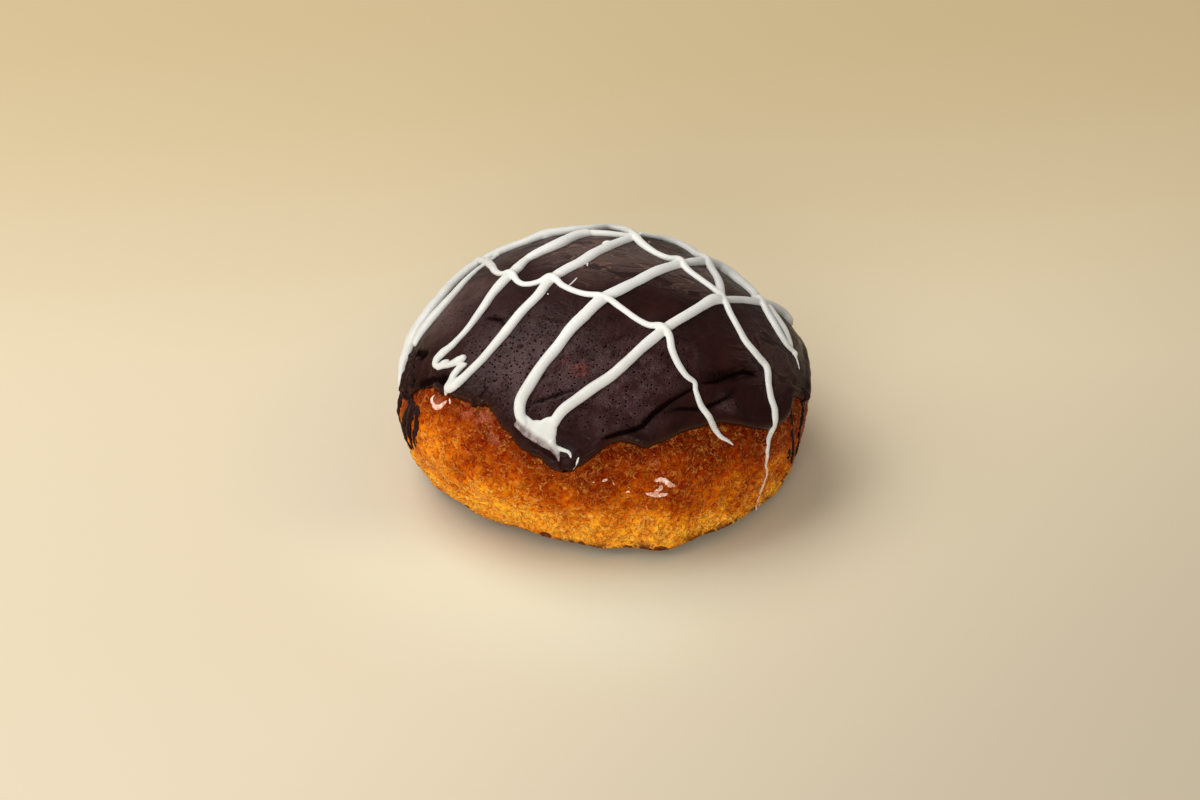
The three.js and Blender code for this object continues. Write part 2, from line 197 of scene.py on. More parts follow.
def icing_edge(azimuth):
    """How far out on the map the icing hangs."""
    turns = [np.degrees(azimuth) + turn for turn in (-CORNER_ROUNDING, 0, CORNER_ROUNDING)]
    return sum(np.interp(turn, REACH_AZIMUTHS, REACH_VALUES, period=360) for turn in turns) / 3


def ragged_edge(azimuth):
    """The same edge with its small nicks, which are deepest at the front left."""
    ring = np.stack([np.cos(azimuth), np.sin(azimuth), 0 * azimuth], axis=-1) * WIDEST_RADIUS
    torn = 0.6 + 1.2 * hill(degrees_between(azimuth, -132) / 45)
    return icing_edge(azimuth) + torn * (0.9 * noise_at(ring, 5.0, 4.4) + 0.5 * noise_at(ring, 1.4, 8.8))


# %% [markdown]
# ## The camera
#
# The doughnut was photographed from a little above, through a moderately long lens, so that its near
# side isn't swollen. The camera looks straight at it along +Y, 36 degrees down.

# %% Set up the camera
VIEW_ELEVATION = math.radians(36)
VIEW_DISTANCE = 0.557
AIM = Vector((-0.00027, 0, 0.0141))

camera_data = bpy.data.cameras.new("camera")
camera_data.lens = 70
camera_data.sensor_width = 36
camera = bpy.data.objects.new("camera", camera_data)
camera.location = AIM + VIEW_DISTANCE * Vector((0, -math.cos(VIEW_ELEVATION), math.sin(VIEW_ELEVATION)))
camera.rotation_euler = (QUARTER_TURN - VIEW_ELEVATION, 0, 0)
bpy.context.scene.collection.objects.link(camera)
bpy.context.scene.camera = camera
bpy.context.scene.view_settings.view_transform = "Standard"
print("the camera stands at", [round(c, 3) for c in camera.location])


# %% [markdown]
# ## Colours and shader nodes
#
# Colours are easiest to judge as a screen shows them, from 0 to 255, but a shader adds up light, so
# each is turned into its share of light first. The other helpers here save typing: each adds one
# node to a material and wires it up.

# %% Helpers for materials
def screen(red, green, blue):
    """A colour as a screen shows it, as shares of light with full alpha."""
    shares = [c / 255 for c in (red, green, blue)]
    return (*[s / 12.92 if s <= 0.04045 else ((s + 0.055) / 1.055) ** 2.4 for s in shares], 1)


def wire(tree, socket, value):
    """Gives a socket a value, or a link from another node's socket."""
    if isinstance(value, bpy.types.NodeSocket):
        tree.links.new(value, socket)
    else:
        socket.default_value = value


def add(tree, kind, settings=None, **inputs):
    made = tree.nodes.new("ShaderNode" + kind)
    for name, value in (settings or {}).items():
        setattr(made, name, value)
    for name, value in inputs.items():
        wire(tree, made.inputs[name.replace("_", " ")], value)
    return made


def maths(tree, operation, first, second=0.0):
    made = tree.nodes.new("ShaderNodeMath")
    made.operation = operation
    wire(tree, made.inputs[0], first)
    wire(tree, made.inputs[1], second)
    return made.outputs[0]


def span(tree, value, low, high, start=0.0, end=1.0):
    """start up to low, end from high on, and an easy slope between them."""
    made = add(tree, "MapRange", {"interpolation_type": "SMOOTHSTEP"}, Value=value)
    for name, number in zip(("From Min", "From Max", "To Min", "To Max"), (low, high, start, end)):
        made.inputs[name].default_value = number
    return made.outputs["Result"]


def mix(tree, factor, first, second, blend="MIX"):
    """Mixes two colours."""
    made = add(tree, "Mix", {"data_type": "RGBA", "blend_type": blend})
    wire(tree, made.inputs[0], factor)
    wire(tree, made.inputs[6], first)
    wire(tree, made.inputs[7], second)
    return made.outputs[2]


def ramp(tree, factor, stops):
    """A run of colours, each at its place from 0 to 1."""
    made = add(tree, "ValToRGB", Fac=factor)
    elements = made.color_ramp.elements
    while len(elements) < len(stops):
        elements.new(1)
    for element, (place, colour) in zip(elements, stops):
        element.position = place
        element.color = colour
    return made.outputs["Color"]


def chain(tree, operation, first, *others):
    """Adds, multiplies or compares any number of values, one after the other."""
    for other in others:
        first = maths(tree, operation, first, other)
    return first


def times(tree, *factors):
    return chain(tree, "MULTIPLY", *factors)


def plus(tree, *terms):
    return chain(tree, "ADD", *terms)


def minus(tree, first, *others):
    return chain(tree, "SUBTRACT", first, *others)


def highest(tree, *values):
    return chain(tree, "MAXIMUM", *values)


# %% Patterns for materials
def cloud(tree, place, per_mm, detail=3.0, roughness=0.5, distortion=0.0):
    """A noise pattern that changes about per_mm times in a millimetre."""
    made = add(tree, "TexNoise", Vector=place, Scale=per_mm / MM, Detail=detail, Roughness=roughness)
    made.inputs["Distortion"].default_value = distortion
    return made.outputs["Fac"]


def dots(tree, place, per_mm):
    """The distance to the nearest of many scattered points, about per_mm of them in a millimetre."""
    return add(tree, "TexVoronoi", Vector=place, Scale=per_mm / MM).outputs["Distance"]


def stored(tree, name):
    """A number that was kept at each point of the mesh."""
    return add(tree, "Attribute", {"attribute_name": name}).outputs["Fac"]


def line_of(tree, pattern, half_width):
    """1 along the line where a pattern is at its middle value, and 0 away from it."""
    off = maths(tree, "ABSOLUTE", minus(tree, pattern, 0.5))
    return span(tree, off, 0.0, half_width, 1, 0)


def new_material(name):
    """An empty material with its shader and the Object coordinates that its patterns are read from."""
    made = bpy.data.materials.new(name)
    made.use_nodes = True
    tree = made.node_tree
    place = tree.nodes.new("ShaderNodeTexCoord").outputs["Object"]
    return made, tree, tree.nodes["Principled BSDF"], place


# %% [markdown]
# ## The floor and the light
#
# The doughnut lies on a smooth cream surface. A large soft light comes from a window at the left, a
# low one from the front and a third from high up at the back left, with a weak sky all round. A flat
# sheet with a slow change of cream tones does for the surface, and painted light and shade are laid
# into it: a painted falloff of light makes it deeper at the back and dimmer at the near right, a
# painted light, paler and bluer, lifts the bun's shadow and its orange glow in front of the bun, and
# painted shade darkens the floor at its left. The shadows are wide and pale, which needs large
# lamps, so each lamp is an area light.

# %% Lay the floor
def finish_object(name, mesh, paint, body="root"):
    """An object with smooth faces and one material, which rides on a body unless that is None."""
    made = bpy.data.objects.new(name, mesh)
    bpy.context.scene.collection.objects.link(made)
    mesh.materials.append(paint)
    for polygon in mesh.polygons:
        polygon.use_smooth = True
    if body:
        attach(made, body)
    return made


def floor_material():
    paint, tree, shader, place = new_material("cream_floor")
    part = add(tree, "SeparateXYZ", Vector=place)
    # Painted falloff of light: the floor's tone is deeper towards the back.
    depth = span(tree, part.outputs["Y"], -0.16, 0.24)
    tone = ramp(tree, depth, [
        (0, screen(214, 200, 174)),
        (0.5, screen(214, 199, 169)),
        (1, screen(196, 176, 136)),
    ])
    # Painted falloff of light: the floor is dimmer towards the near right.
    near_right = minus(tree, part.outputs["X"], part.outputs["Y"])
    painted_falloff_near_right = span(tree, near_right, 0.02, 0.25, 1.0, 0.76)
    tone = mix(tree, 1.0, tone, painted_falloff_near_right, "MULTIPLY")
    # Painted light in front of the bun, paler and bluer, lifts its shadow and orange glow; painted shade
    # darkens the floor at its left.
    away = add(tree, "VectorMath", {"operation": "LENGTH"}).outputs["Value"]
    wire(tree, away.node.inputs[0], place)
    in_front = span(tree, part.outputs["Y"], -0.05, -0.02, 1, 0)
    painted_light_and_shade_near_bun = mix(tree, in_front, (0.9, 0.95, 1.02, 1), (1.06, 1.17, 1.22, 1))
    painted_near_bun_share = times(tree, span(tree, away, 0.046, 0.1, 1, 0), span(tree, part.outputs["X"], 0.0, 0.05, 1, 0))
    tone = mix(tree, painted_near_bun_share, tone, painted_light_and_shade_near_bun, "MULTIPLY")
    wire(tree, shader.inputs["Base Color"], tone)
    shader.inputs["Roughness"].default_value = 0.8
    shader.inputs["Specular IOR Level"].default_value = 0.1
    return paint


FLOOR_HALF_WIDTH = 1.6
floor_sheet = bmesh.new()
bmesh.ops.create_grid(floor_sheet, x_segments=8, y_segments=8, size=FLOOR_HALF_WIDTH)
floor_mesh = bpy.data.meshes.new("floor")
floor_sheet.to_mesh(floor_mesh)
floor_sheet.free()
finish_object("floor", floor_mesh, floor_material(), body=None)


# %% Hang the lights
def area_light(name, place, size, power, colour):
    lamp = bpy.data.lights.new(name, "AREA")
    lamp.shape = "DISK"
    lamp.size = size
    lamp.energy = power
    lamp.color = colour
    made = bpy.data.objects.new(name, lamp)
    made.location = place
    made.rotation_euler = (Vector((0, 0, 0.02)) - Vector(place)).to_track_quat("-Z", "Y").to_euler()
    bpy.context.scene.collection.objects.link(made)


area_light("window", (-0.88, -0.2, 0.85), 0.9, 5.3, (1.0, 0.985, 0.96))
area_light("front", (-0.25, -1.15, 0.22), 0.8, 10.4, (1.0, 0.985, 0.965))
area_light("overhead", (-0.5, 0.32, 1.1), 0.9, 8.6, (1.0, 0.985, 0.965))
world = bpy.data.worlds.new("sky")
world.use_nodes = True
world.node_tree.nodes["Background"].inputs["Color"].default_value = (1.0, 0.985, 0.955, 1)
world.node_tree.nodes["Background"].inputs["Strength"].default_value = 0.42
bpy.context.scene.world = world

# %% [markdown]
# ## The bun
#
# Fried dough is a smooth swollen ball whose thin crust has wrinkled as it shrank, with blisters,
# small craters and burnt specks where it touched the fryer. A lathe shape would crowd its faces at the
# crown, so the bun starts from a square grid that is pressed into a disc: its squares stay nearly
# equal everywhere. The disc is then laid over the map, and each point is pushed out or in along the
# skin by the height of the crust there.

# %% A disc of even squares
EIGHTH_TURN = math.pi / 4


def round_patch(bm, across):
    """Adds a disc of radius 1 with across squares along each side, and returns its points."""
    patch = bmesh.ops.create_grid(bm, x_segments=across, y_segments=across, size=1)["verts"]
    for vert in patch:
        side, front = vert.co.x, vert.co.y
        if abs(side) >= abs(front) and side != 0:
            turn = EIGHTH_TURN * front / side
            vert.co = (side * math.cos(turn), side * math.sin(turn), 0)
        elif front != 0:
            turn = EIGHTH_TURN * side / front
            vert.co = (front * math.sin(turn), front * math.cos(turn), 0)
    return patch


def places_of(verts):
    """The points' flat coordinates, as two arrays."""
    flat = np.array([vert.co[:2] for vert in verts])
    return flat[:, 0], flat[:, 1]


def move_to(verts, points):
    """Moves each point to its place, given in millimetres."""
    for vert, point in zip(verts, points * MM):
        vert.co = point


def keep(mesh, name, verts, values):
    """Keeps a number at each of these points of the mesh for its material to read."""
    numbers = np.zeros(len(mesh.vertices), dtype=np.float32)
    numbers[verts] = values
    mesh.attributes.new(name, "FLOAT", "POINT").data.foreach_set("value", numbers)


def rims_of(verts):
    """The open edges among these points."""
    return {edge for vert in verts for edge in vert.link_edges if edge.is_boundary}


# %% Noise and lines on the map
NOISE_SEED = 7
noise.seed_set(NOISE_SEED)
LAYER_FADE = 0.9
LAYER_SHRINK = 2.0
LAYERS = 3


def noise_at(points, size, seed):
    """Layered noise of about -1 to 1 whose largest lumps are size millimetres across."""
    places = points / size + seed
    return np.array([noise.fractal(p, LAYER_FADE, LAYER_SHRINK, LAYERS) for p in places])


def wrinkles_at(points, size, warp, seed):
    """Winding folds, from 0 in the valleys to 1 on the crests, bent about by a slower noise."""
    places = points / size + seed
    bent = [Vector(p) + warp * noise.noise_vector(Vector(p) / 2.7) for p in places]
    return np.array([1 - min(1.0, 2.6 * abs(noise.noise(p))) for p in bent])


def to_route(x, y, route):
    """The distance from a line on the map (more than 0 on its left), and how far along it that is."""
    best = np.full(np.shape(x), 1e9)
    side = np.ones(np.shape(x))
    along = np.zeros(np.shape(x))
    for number, ((x0, y0), (x1, y1)) in enumerate(zip(route[:-1], route[1:])):
        run_x, run_y = x1 - x0, y1 - y0
        share = np.clip(((x - x0) * run_x + (y - y0) * run_y) / (run_x**2 + run_y**2), 0, 1)
        off_x, off_y = x - x0 - share * run_x, y - y0 - share * run_y
        away = np.hypot(off_x, off_y)
        nearer = away < best
        best = np.where(nearer, away, best)
        side = np.where(nearer, np.sign(run_x * off_y - run_y * off_x), side)
        along = np.where(nearer, (number + share) / (len(route) - 1), along)
    return best * side, along


def sum_of_hills(x, y, hills):
    """The sum of rounded hills, each with its middle and its reach on the map and its height."""
    return sum(height * hill(np.hypot(x - at[0], y - at[1]) / reach) for at, reach, height in hills)


# %% Where the crust is dark, folded or cratered
# Where glaze has soaked into the crust: the middle and the reach on the map, and the strength.
GREASY = [((-50, -51), 5, 1), ((-44, -57), 6, 1), ((-41, -66), 5, 1), ((-62, -43), 4, 1), ((26, -84), 3, 1)]

# Where the crust is browner (+) or more golden (-) than its height says: the middle and the reach
# on the map, and how many millimetres higher or lower such a brown usually is.
BAKED = [
    ((4, -88), 22, 5.0),
    ((-8, -98), 11, 3.0),
    ((-45, -88), 26, -2.5),
    ((-85, -95), 40, -2.6),
    ((75, -115), 42, 3.0),
    ((12, -135), 32, 4.0),
    ((-40, -140), 32, -1.0),
]

# Burnt spots along the foot: the middle and the reach on the map, and the strength.
BURNT = [
    ((-129, -115), 8, 1), ((-122, -125), 7, 1), ((-74, -158), 5, 1), ((-55, -168), 8, 1),
    ((-20, -182), 6, 1), ((27, -182), 6, 1), ((44, -182), 8, 1), ((58, -178), 10, 1),
    ((88, -164), 6, 1), ((106, -152), 8, 1), ((121, -138), 6, 1), ((-150, -60), 6, 1),
    ((150, -70), 7, 1), ((170, 30), 7, 1), ((90, 150), 8, 1), ((-20, 180), 8, 1), ((-130, 120), 8, 1),
]

# Folds in the crust: the line on the map, the depth in millimetres and the half width on the map.
FOLDS = [
    ([(-53, -105), (-62, -120), (-69, -134), (-64, -146), (-56, -151), (-46, -148), (-37, -137)], 0.6, 1.8),
    ([(34, -140), (36, -150), (42, -158), (52, -160)], 0.5, 1.4),
    ([(52, -150), (58, -158), (60, -168)], 0.4, 1.4),
]

# Round blisters, craters and dents: the place on the map, the radius on the map, the depth in
# millimetres (less than 0 for a blister), and the height of the rim round it.
CRATERS = [
    ((37.5, -73.5), 4.0, 0.35, 0.22),
    ((-75, -47), 2.0, 0.9, 0.1),
    ((-61, -124), 5.0, 0.5, 0.15),
    ((-45, -141), 6.5, 0.6, 0.2),
    ((43, -148), 8.0, -0.6, -0.15),
    ((66, -161), 9.0, -0.6, -0.15),
    ((59, -178), 5.0, 1.4, 0.3),
    ((-58, -77), 3.5, 0.7, 0.1),
    ((-12, -150), 4.0, 0.4, 0.1),
    ((62, -118), 4.5, 0.35, 0.1),
    ((90, 60), 6.0, 0.5, 0.15),
    ((-20, 130), 7.0, 0.5, 0.15),
    ((-110, 70), 6.0, 0.45, 0.12),
    ((60, 140), 8.0, -0.5, -0.1),
]


# %% How rough the crust is
def crater_relief(x, y):
    """How far the craters and folds stand above the crust, in millimetres."""
    total = np.zeros(np.shape(x))
    for (at_x, at_y), radius, depth, rim in CRATERS:
        away = np.hypot(x - at_x, y - at_y) / radius
        total += -depth * hill(away) + rim * np.exp(-np.square((away - 1.1) / 0.28))
    for route, depth, half_width in FOLDS:
        away, along = to_route(x, y, route)
        total -= depth * np.exp(-np.square(away / half_width)) * hill(2 * along - 1) ** 0.25
    return total


def crust_wrinkles(points):
    """The fine folds of the shrunken skin, from 0 in the valleys to 1 on the crests."""
    return 0.6 * wrinkles_at(points, 2.3, 1.4, seed=1.9) + 0.4 * wrinkles_at(points, 1.2, 1.2, seed=5.2)


def crust_relief(points, x, y):
    """How far the crust stands above the smooth skin, in millimetres."""
    swell = 0.32 * noise_at(points, 11, seed=3.1) + 0.34 * noise_at(points, 3.4, seed=7.7)
    shrunk = 0.6 + 0.4 * ease(np.hypot(x, y), 95, 160)
    return swell + shrunk * 0.85 * (crust_wrinkles(points) - 0.45) + crater_relief(x, y)


# %% Shape the bun
BUN_ACROSS = 285
FOOT_ACROSS = 60
CALM_FROM = 160
FOOT_ROUND_FROM = 184
FOOT_ROUND_IN = 2.8
# How far below the icing's edge, on the map, the painted shade on the crust reaches.
SHADE_BELOW_ICING_REACH = 16


def bun_place(share, azimuth):
    """Lays the disc over the map: few rings under the icing, most of them on the side that shows."""
    percent = np.interp(share, [0, 0.2, 0.62, 1], [0, 52, WIDEST_LINE, FOOT_EDGE])
    return percent * np.cos(azimuth), percent * np.sin(azimuth), percent


def shape_bun():
    """The bun's side and its foot, joined along their rims, with the marks that its crust needs."""
    bm = bmesh.new()
    side = round_patch(bm, BUN_ACROSS)
    flat_x, flat_y = places_of(side)
    azimuth = np.arctan2(flat_y, flat_x)
    x, y, percent = bun_place(np.hypot(flat_x, flat_y), azimuth)
    smooth = skin(x, y)
    calm = 1 - ease(percent, CALM_FROM, FOOT_EDGE)
    crust = smooth + skin_normal(x, y) * (crust_relief(smooth, x, y) * calm)[:, None]
    turned_under = ease(percent, FOOT_ROUND_FROM, FOOT_EDGE) * FOOT_ROUND_IN
    crust[:, 0] -= turned_under * np.cos(azimuth)
    crust[:, 1] -= turned_under * np.sin(azimuth)
    crust[:, 2] = np.maximum(crust[:, 2], 0)
    move_to(side, crust)
    marks = {
        "crest": crust_wrinkles(smooth),
        # Painted shade just below the icing's edge.
        "shade_below_icing": ease(percent, icing_edge(azimuth) + SHADE_BELOW_ICING_REACH, icing_edge(azimuth) + 1),
        "greasy": sum_of_hills(x, y, GREASY),
        "burnt": sum_of_hills(x, y, BURNT),
        "baked": sum_of_hills(x, y, BAKED),
    }

    foot = round_patch(bm, FOOT_ACROSS)
    flat_x, flat_y = places_of(foot)
    azimuth = np.arctan2(flat_y, flat_x)
    share = np.hypot(flat_x, flat_y) * 0.97
    radius = share * (foot_radius(azimuth) - FOOT_ROUND_IN)
    under = np.stack([radius * np.cos(azimuth), radius * np.sin(azimuth), 0 * radius], axis=-1)
    under[:, 2] = 0.5 * ease(noise_at(under, 7, seed=2.2), -0.1, 0.7) * (1 - ease(share, 0.8, 0.97))
    move_to(foot, under)
    foot_faces = {face for vert in foot for face in vert.link_faces}
    bmesh.ops.reverse_faces(bm, faces=list(foot_faces))
    bmesh.ops.bridge_loops(bm, edges=list(rims_of(side) | rims_of(foot)))
    bmesh.ops.recalc_face_normals(bm, faces=bm.faces)
    bm.verts.index_update()
    side = [vert.index for vert in side]
    mesh = bpy.data.meshes.new("bun")
    bm.to_mesh(mesh)
    bm.free()
    for mark, numbers in marks.items():
        keep(mesh, mark, side, numbers)
    return mesh


bun_mesh = shape_bun()
print("the bun has", len(bun_mesh.polygons), "faces")


# %% [markdown]
# ## The crust's finish
#
# A fried crust is pale gold low down, and turns from orange to a red brown towards the icing. The
# height of each place gives its tone, moved up or down where the photo shows a browner or a paler
# field, and browner towards the right, which also stands for painted shade there. Painted shade lies
# just below the icing and in the valleys of the wrinkles. On top of that lie curly pale threads where
# the skin has stretched, which are also painted highlights on its ridges, each with a line of painted
# shade as a furrow beside it, and painted glints, pores darkened with painted shade, greasy patches
# and burnt spots along the foot. The threads are level lines of a noise, because such lines curl and
# close as the real ones do.

# %% Brown the crust
BROWNED_AT = 32


def threads_of(tree, place, per_mm, half_width, broken_by):
    """Curly pale threads and painted shade lines beside them: level lines of one noise, broken by another.
    """
    pattern = cloud(tree, place, per_mm, 1, 0.5, 0.6)
    broken = span(tree, cloud(tree, place, broken_by, 2, 0.6), 0.45, 0.53)
    beside = plus(tree, pattern, 1.6 * half_width)
    thread = times(tree, line_of(tree, pattern, half_width), broken)
    return thread, times(tree, line_of(tree, beside, half_width), broken)


def browned_tone(tree, place, part):
    """The crust's tone without its details, and the height of such a tone on a plain bun."""
    patches = times(tree, minus(tree, cloud(tree, place, 0.1, 4), 0.5), 0.034)
    # Browner towards the right, partly the crust's own tone and partly painted shade away from the window.
    browner_and_shaded_right = times(tree, part.outputs["X"], 0.14)
    height = plus(tree, part.outputs["Z"], patches, browner_and_shaded_right, times(tree, stored(tree, "baked"), MM))
    tone = ramp(tree, maths(tree, "DIVIDE", height, BROWNED_AT * MM), [
        (0.0, screen(230, 140, 24)),
        (0.2, screen(243, 172, 46)),
        (0.34, screen(240, 158, 32)),
        (0.44, screen(220, 128, 16)),
        (0.56, screen(192, 100, 4)),
        (0.66, screen(172, 79, 2)),
        (0.76, screen(152, 63, 2)),
        (0.86, screen(138, 53, 2)),
        (1.0, screen(124, 46, 2)),
    ])
    # Painted shade just below the icing's edge.
    tone = mix(tree, times(tree, stored(tree, "shade_below_icing"), 0.45), tone, screen(104, 34, 4))
    golden = span(tree, height, 0.011, 0.019, 0.6, 1.0)
    blotches = span(tree, cloud(tree, place, 0.3, 4, 0.62, 0.5), 0.38, 0.6, 1, 0)
    tone = mix(tree, times(tree, blotches, golden, 0.5), tone, screen(225, 140, 80), "MULTIPLY")
    # Painted shade in the valleys of the wrinkles.
    valleys = span(tree, stored(tree, "crest"), 0.1, 0.5, 1, 0)
    return mix(tree, times(tree, valleys, golden, 0.7), tone, screen(212, 126, 70), "MULTIPLY"), height


def burnt_share(tree, place, part):
    """How burnt each place is: spots in fields, a ragged band along the foot, and the foot's edge."""
    ragged = minus(tree, cloud(tree, place, 0.5, 4, 0.65), 0.5)
    fields = plus(tree, times(tree, stored(tree, "burnt"), 1.6), ragged)
    charred = span(tree, fields, 0.22, 0.42, 0, 0.9)
    band = span(tree, part.outputs["Z"], 0.0022, 0.0060, 1, 0)
    band = times(tree, band, span(tree, cloud(tree, place, 0.35, 5, 0.65), 0.47, 0.54))
    return highest(tree, charred, band, span(tree, part.outputs["Z"], 0.0016, 0.0034, 0.75, 0))


def crust_material():
    paint, tree, shader, place = new_material("fried_crust")
    part = add(tree, "SeparateXYZ", Vector=place)
    tone, height = browned_tone(tree, place, part)
    # The pale threads are partly the stretched skin's colour and partly painted highlights on its ridges.
    wide, shade_beside_wide = threads_of(tree, place, 0.5, 0.06, 0.45)
    fine, shade_beside_fine = threads_of(tree, place, 0.85, 0.08, 0.6)
    flakes = line_of(tree, cloud(tree, place, 0.22, 3, 0.6, 1.5), 0.02)
    # Painted shade in the furrows beside the threads and along the outlines of the flakes.
    furrow_shade = highest(tree, shade_beside_wide, times(tree, shade_beside_fine, 0.6), flakes)
    tone = mix(tree, times(tree, furrow_shade, 0.75), tone, screen(200, 112, 60), "MULTIPLY")
    # Painted glints: small bright dots, mixed in with the pale threads.
    painted_glints = span(tree, dots(tree, place, 0.55), 0.08, 0.18, 1, 0)
    pale = highest(tree, wide, times(tree, fine, 0.7), painted_glints)
    lively = span(tree, cloud(tree, place, 0.2, 2), 0.35, 0.6, 0.45, 1)
    pale_and_glint_tone = mix(tree, span(tree, height, 0.01, 0.022), screen(255, 210, 100), screen(238, 156, 50))
    pale_and_glint_share = times(tree, pale, lively, span(tree, height, 0.01, 0.024, 0.54, 0.34))
    tone = mix(tree, pale_and_glint_share, tone, pale_and_glint_tone)
    smear = times(tree, stored(tree, "greasy"), span(tree, cloud(tree, place, 0.4, 3, 0.5, 0.6), 0.46, 0.5))
    tone = mix(tree, times(tree, smear, 0.5), tone, screen(186, 100, 74))
    # Pores pressed in and darkened with painted shade.
    shaded_pores = span(tree, dots(tree, place, 0.26), 0.0, 0.1, 1, 0)
    tone = mix(tree, times(tree, shaded_pores, 0.85), tone, screen(84, 26, 8))
    tone = mix(tree, burnt_share(tree, place, part), tone, screen(84, 30, 10))
    wire(tree, shader.inputs["Base Color"], tone)
    wire(tree, shader.inputs["Roughness"], span(tree, cloud(tree, place, 0.16, 3), 0.35, 0.7, 0.45, 0.28))
    wire(tree, shader.inputs["Specular IOR Level"], plus(tree, times(tree, pale, lively, 0.2), 0.015))
    relief = minus(tree, pale, times(tree, furrow_shade, 0.6), shaded_pores)
    grain = add(tree, "Bump", Strength=1.0, Distance=0.22 * MM, Height=relief)
    wire(tree, shader.inputs["Normal"], grain.outputs["Normal"])
    return paint


bun = finish_object("fried_dough", bun_mesh, crust_material())
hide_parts("dough")

# %% [markdown]
# ## The chocolate icing
#
# The icing is a skin a millimetre or so thick. It gathers in a low bead behind its edge, which hangs
# down in tongues of different length, and at the left it is only a thin, rough smear. Where it set in
# two layers, the upper one ends in a ragged step. The same kind of disc is stretched so that its rim
# follows the edge of the icing: then the rim is crisp all round, however long a tongue is.

# %% Steps, creases and dents in the icing
# A step: the line on the map with the thick side on its left, the height, and how far it fades back.
STEPS = [
    ([(0, -73), (6, -71), (12, -69), (16, -67), (20, -61), (27, -54), (33, -48), (35, -45)], 0.8, 12),
    ([(25, -60), (30, -57), (38, -55), (43, -51), (47, -47), (50, -42)], 0.4, 7),
    ([(35, -45), (41, -42), (44, -39), (47, -36), (51, -33), (57, -32.5)], 0.85, 10),
    ([(-38, -14), (-34, -16), (-31, -18), (-30, -21)], 0.35, 6),
    ([(-8, -54), (-14, -55), (-19, -56), (-25, -57)], 0.35, 7),
    ([(-72, -33), (-63, -35), (-57, -36.5), (-51, -37.5)], -0.35, 4),
    ([(-30, -30), (-24, -31), (-19, -29), (-14, -30)], 0.22, 7),
    ([(-20, -18), (-24, -22), (-23, -28), (-26, -34)], 0.2, 7),
]

# A crease (-) or a ridge (+): the line, the height, the half width on the map.
CREASES = [
    ([(-28, -30), (-28, -34), (-29, -38)], 0.22, 1.4),
    ([(34, -26), (33, -31), (34, -36), (34.5, -41), (36, -44)], 0.35, 1.3),
    ([(39, -21), (35, -27), (38, -31), (42, -37)], 0.25, 1.3),
    ([(-71, -14), (-67, -18), (-63, -20.5)], -0.8, 1.3),
    ([(-76, -6), (-77, -14), (-78, -22), (-80, -32)], 0.5, 1.0),
    ([(-80, -4), (-82, -13), (-84, -22), (-86, -30)], 0.6, 1.0),
    ([(-74, -10), (-74, -20), (-75, -31)], 0.55, 1.0),
    ([(-86, -4), (-88, -14), (-90, -24)], 0.5, 1.0),
    ([(-78, -8), (-79.5, -18), (-82, -30)], -0.6, 0.8),
    ([(-72.5, -14), (-72.5, -24), (-72.5, -32)], -0.6, 0.8),
    ([(-70, -17), (-71, -24), (-71, -31)], 0.35, 1.2),
    ([(-61, -23), (-60, -28), (-62, -33)], 0.3, 1.2),
    ([(-59, -31.5), (-56, -33.5), (-51.5, -35)], 0.5, 1.5),
    ([(-40, -43), (-40, -46), (-42, -49), (-46, -50)], -0.16, 0.8),
    ([(-43, -43), (-41, -41), (-37, -43)], 0.25, 0.8),
    ([(-37, -45), (-36, -49), (-38, -53)], 0.3, 0.8),
    ([(-34, -51), (-36, -47), (-33, -44)], 0.25, 0.8),
    ([(-46, -44), (-43, -47), (-43, -51)], 0.25, 0.8),
    ([(-24, -20), (-13, -25), (0, -31), (14, -31.5)], 0.16, 0.8),
    ([(-27, -24), (-33, -33), (-32, -40)], 0.18, 0.8),
    ([(-34, -62), (-31, -68), (-25, -76), (-17, -83)], 0.14, 0.9),
    ([(-24, 6), (-12, 5), (-2, 1), (10, -3)], 0.12, 1.6),
    ([(-12, 16), (0, 10), (12, 2), (20, 0)], 0.12, 1.8),
    ([(8, -8), (18, -7), (28, -12)], 0.12, 1.2),
    ([(56, -34), (62, -24), (66, -12)], 0.12, 1.6),
]

# Bubbles (+) and pits (-): the place and the radius on the map, and the height.
BUBBLES = [
    ((-13, -84), 3.8, 0.9),
    ((-18.5, -85), 3.2, 0.6),
    ((-15.5, -87), 1.6, -0.6),
    ((-9, -80), 2.6, 0.4),
    ((-55.5, -36.5), 3.2, -0.9),
    ((-66.5, -19.5), 2.4, -0.4),
]


def icing_features(x, y):
    """How far the steps, creases and bubbles stand above the icing's face, in millimetres."""
    total = np.zeros(np.shape(x))
    for route, height, fade in STEPS:
        away, along = to_route(x, y, route)
        ends = hill(2 * along - 1) ** 0.25
        step = ease(away, -0.35, 0.35) * np.exp(-np.maximum(away, 0) / fade)
        groove = 0.6 * np.exp(-np.square((away + 1.0) / 1.0))
        total += height * ends * (step - groove)
    for route, height, half_width in CREASES:
        away, along = to_route(x, y, route)
        total += height * np.exp(-np.square(away / half_width)) * hill(2 * along - 1) ** 0.25
    for (at_x, at_y), radius, height in BUBBLES:
        total += height * hill(np.hypot(x - at_x, y - at_y) / radius)
    return total


# %% How thick the icing is
ICING_THICKNESS = 1.35
ICING_BEAD = 0.45
ROLL_WIDTH = 1.3
BEAD_REACH = 4.0

# Torn patches: the place on the map, the reach, the roughness.
TORN = [
    ((-38, -47), 11, 0.4),
    ((-74, -24), 13, 0.5),
    ((-80, -12), 12, 0.25),
    ((-50, -39), 7, 0.4),
    ((44, -48), 9, 0.3),
]

# Where the icing is only a thin smear: the place on the map, the reach, and how much it lacks.
THINNED = [((-90, -12), 24, 1.0), ((-98, -34), 22, 0.6)]
THINNEST = 0.35


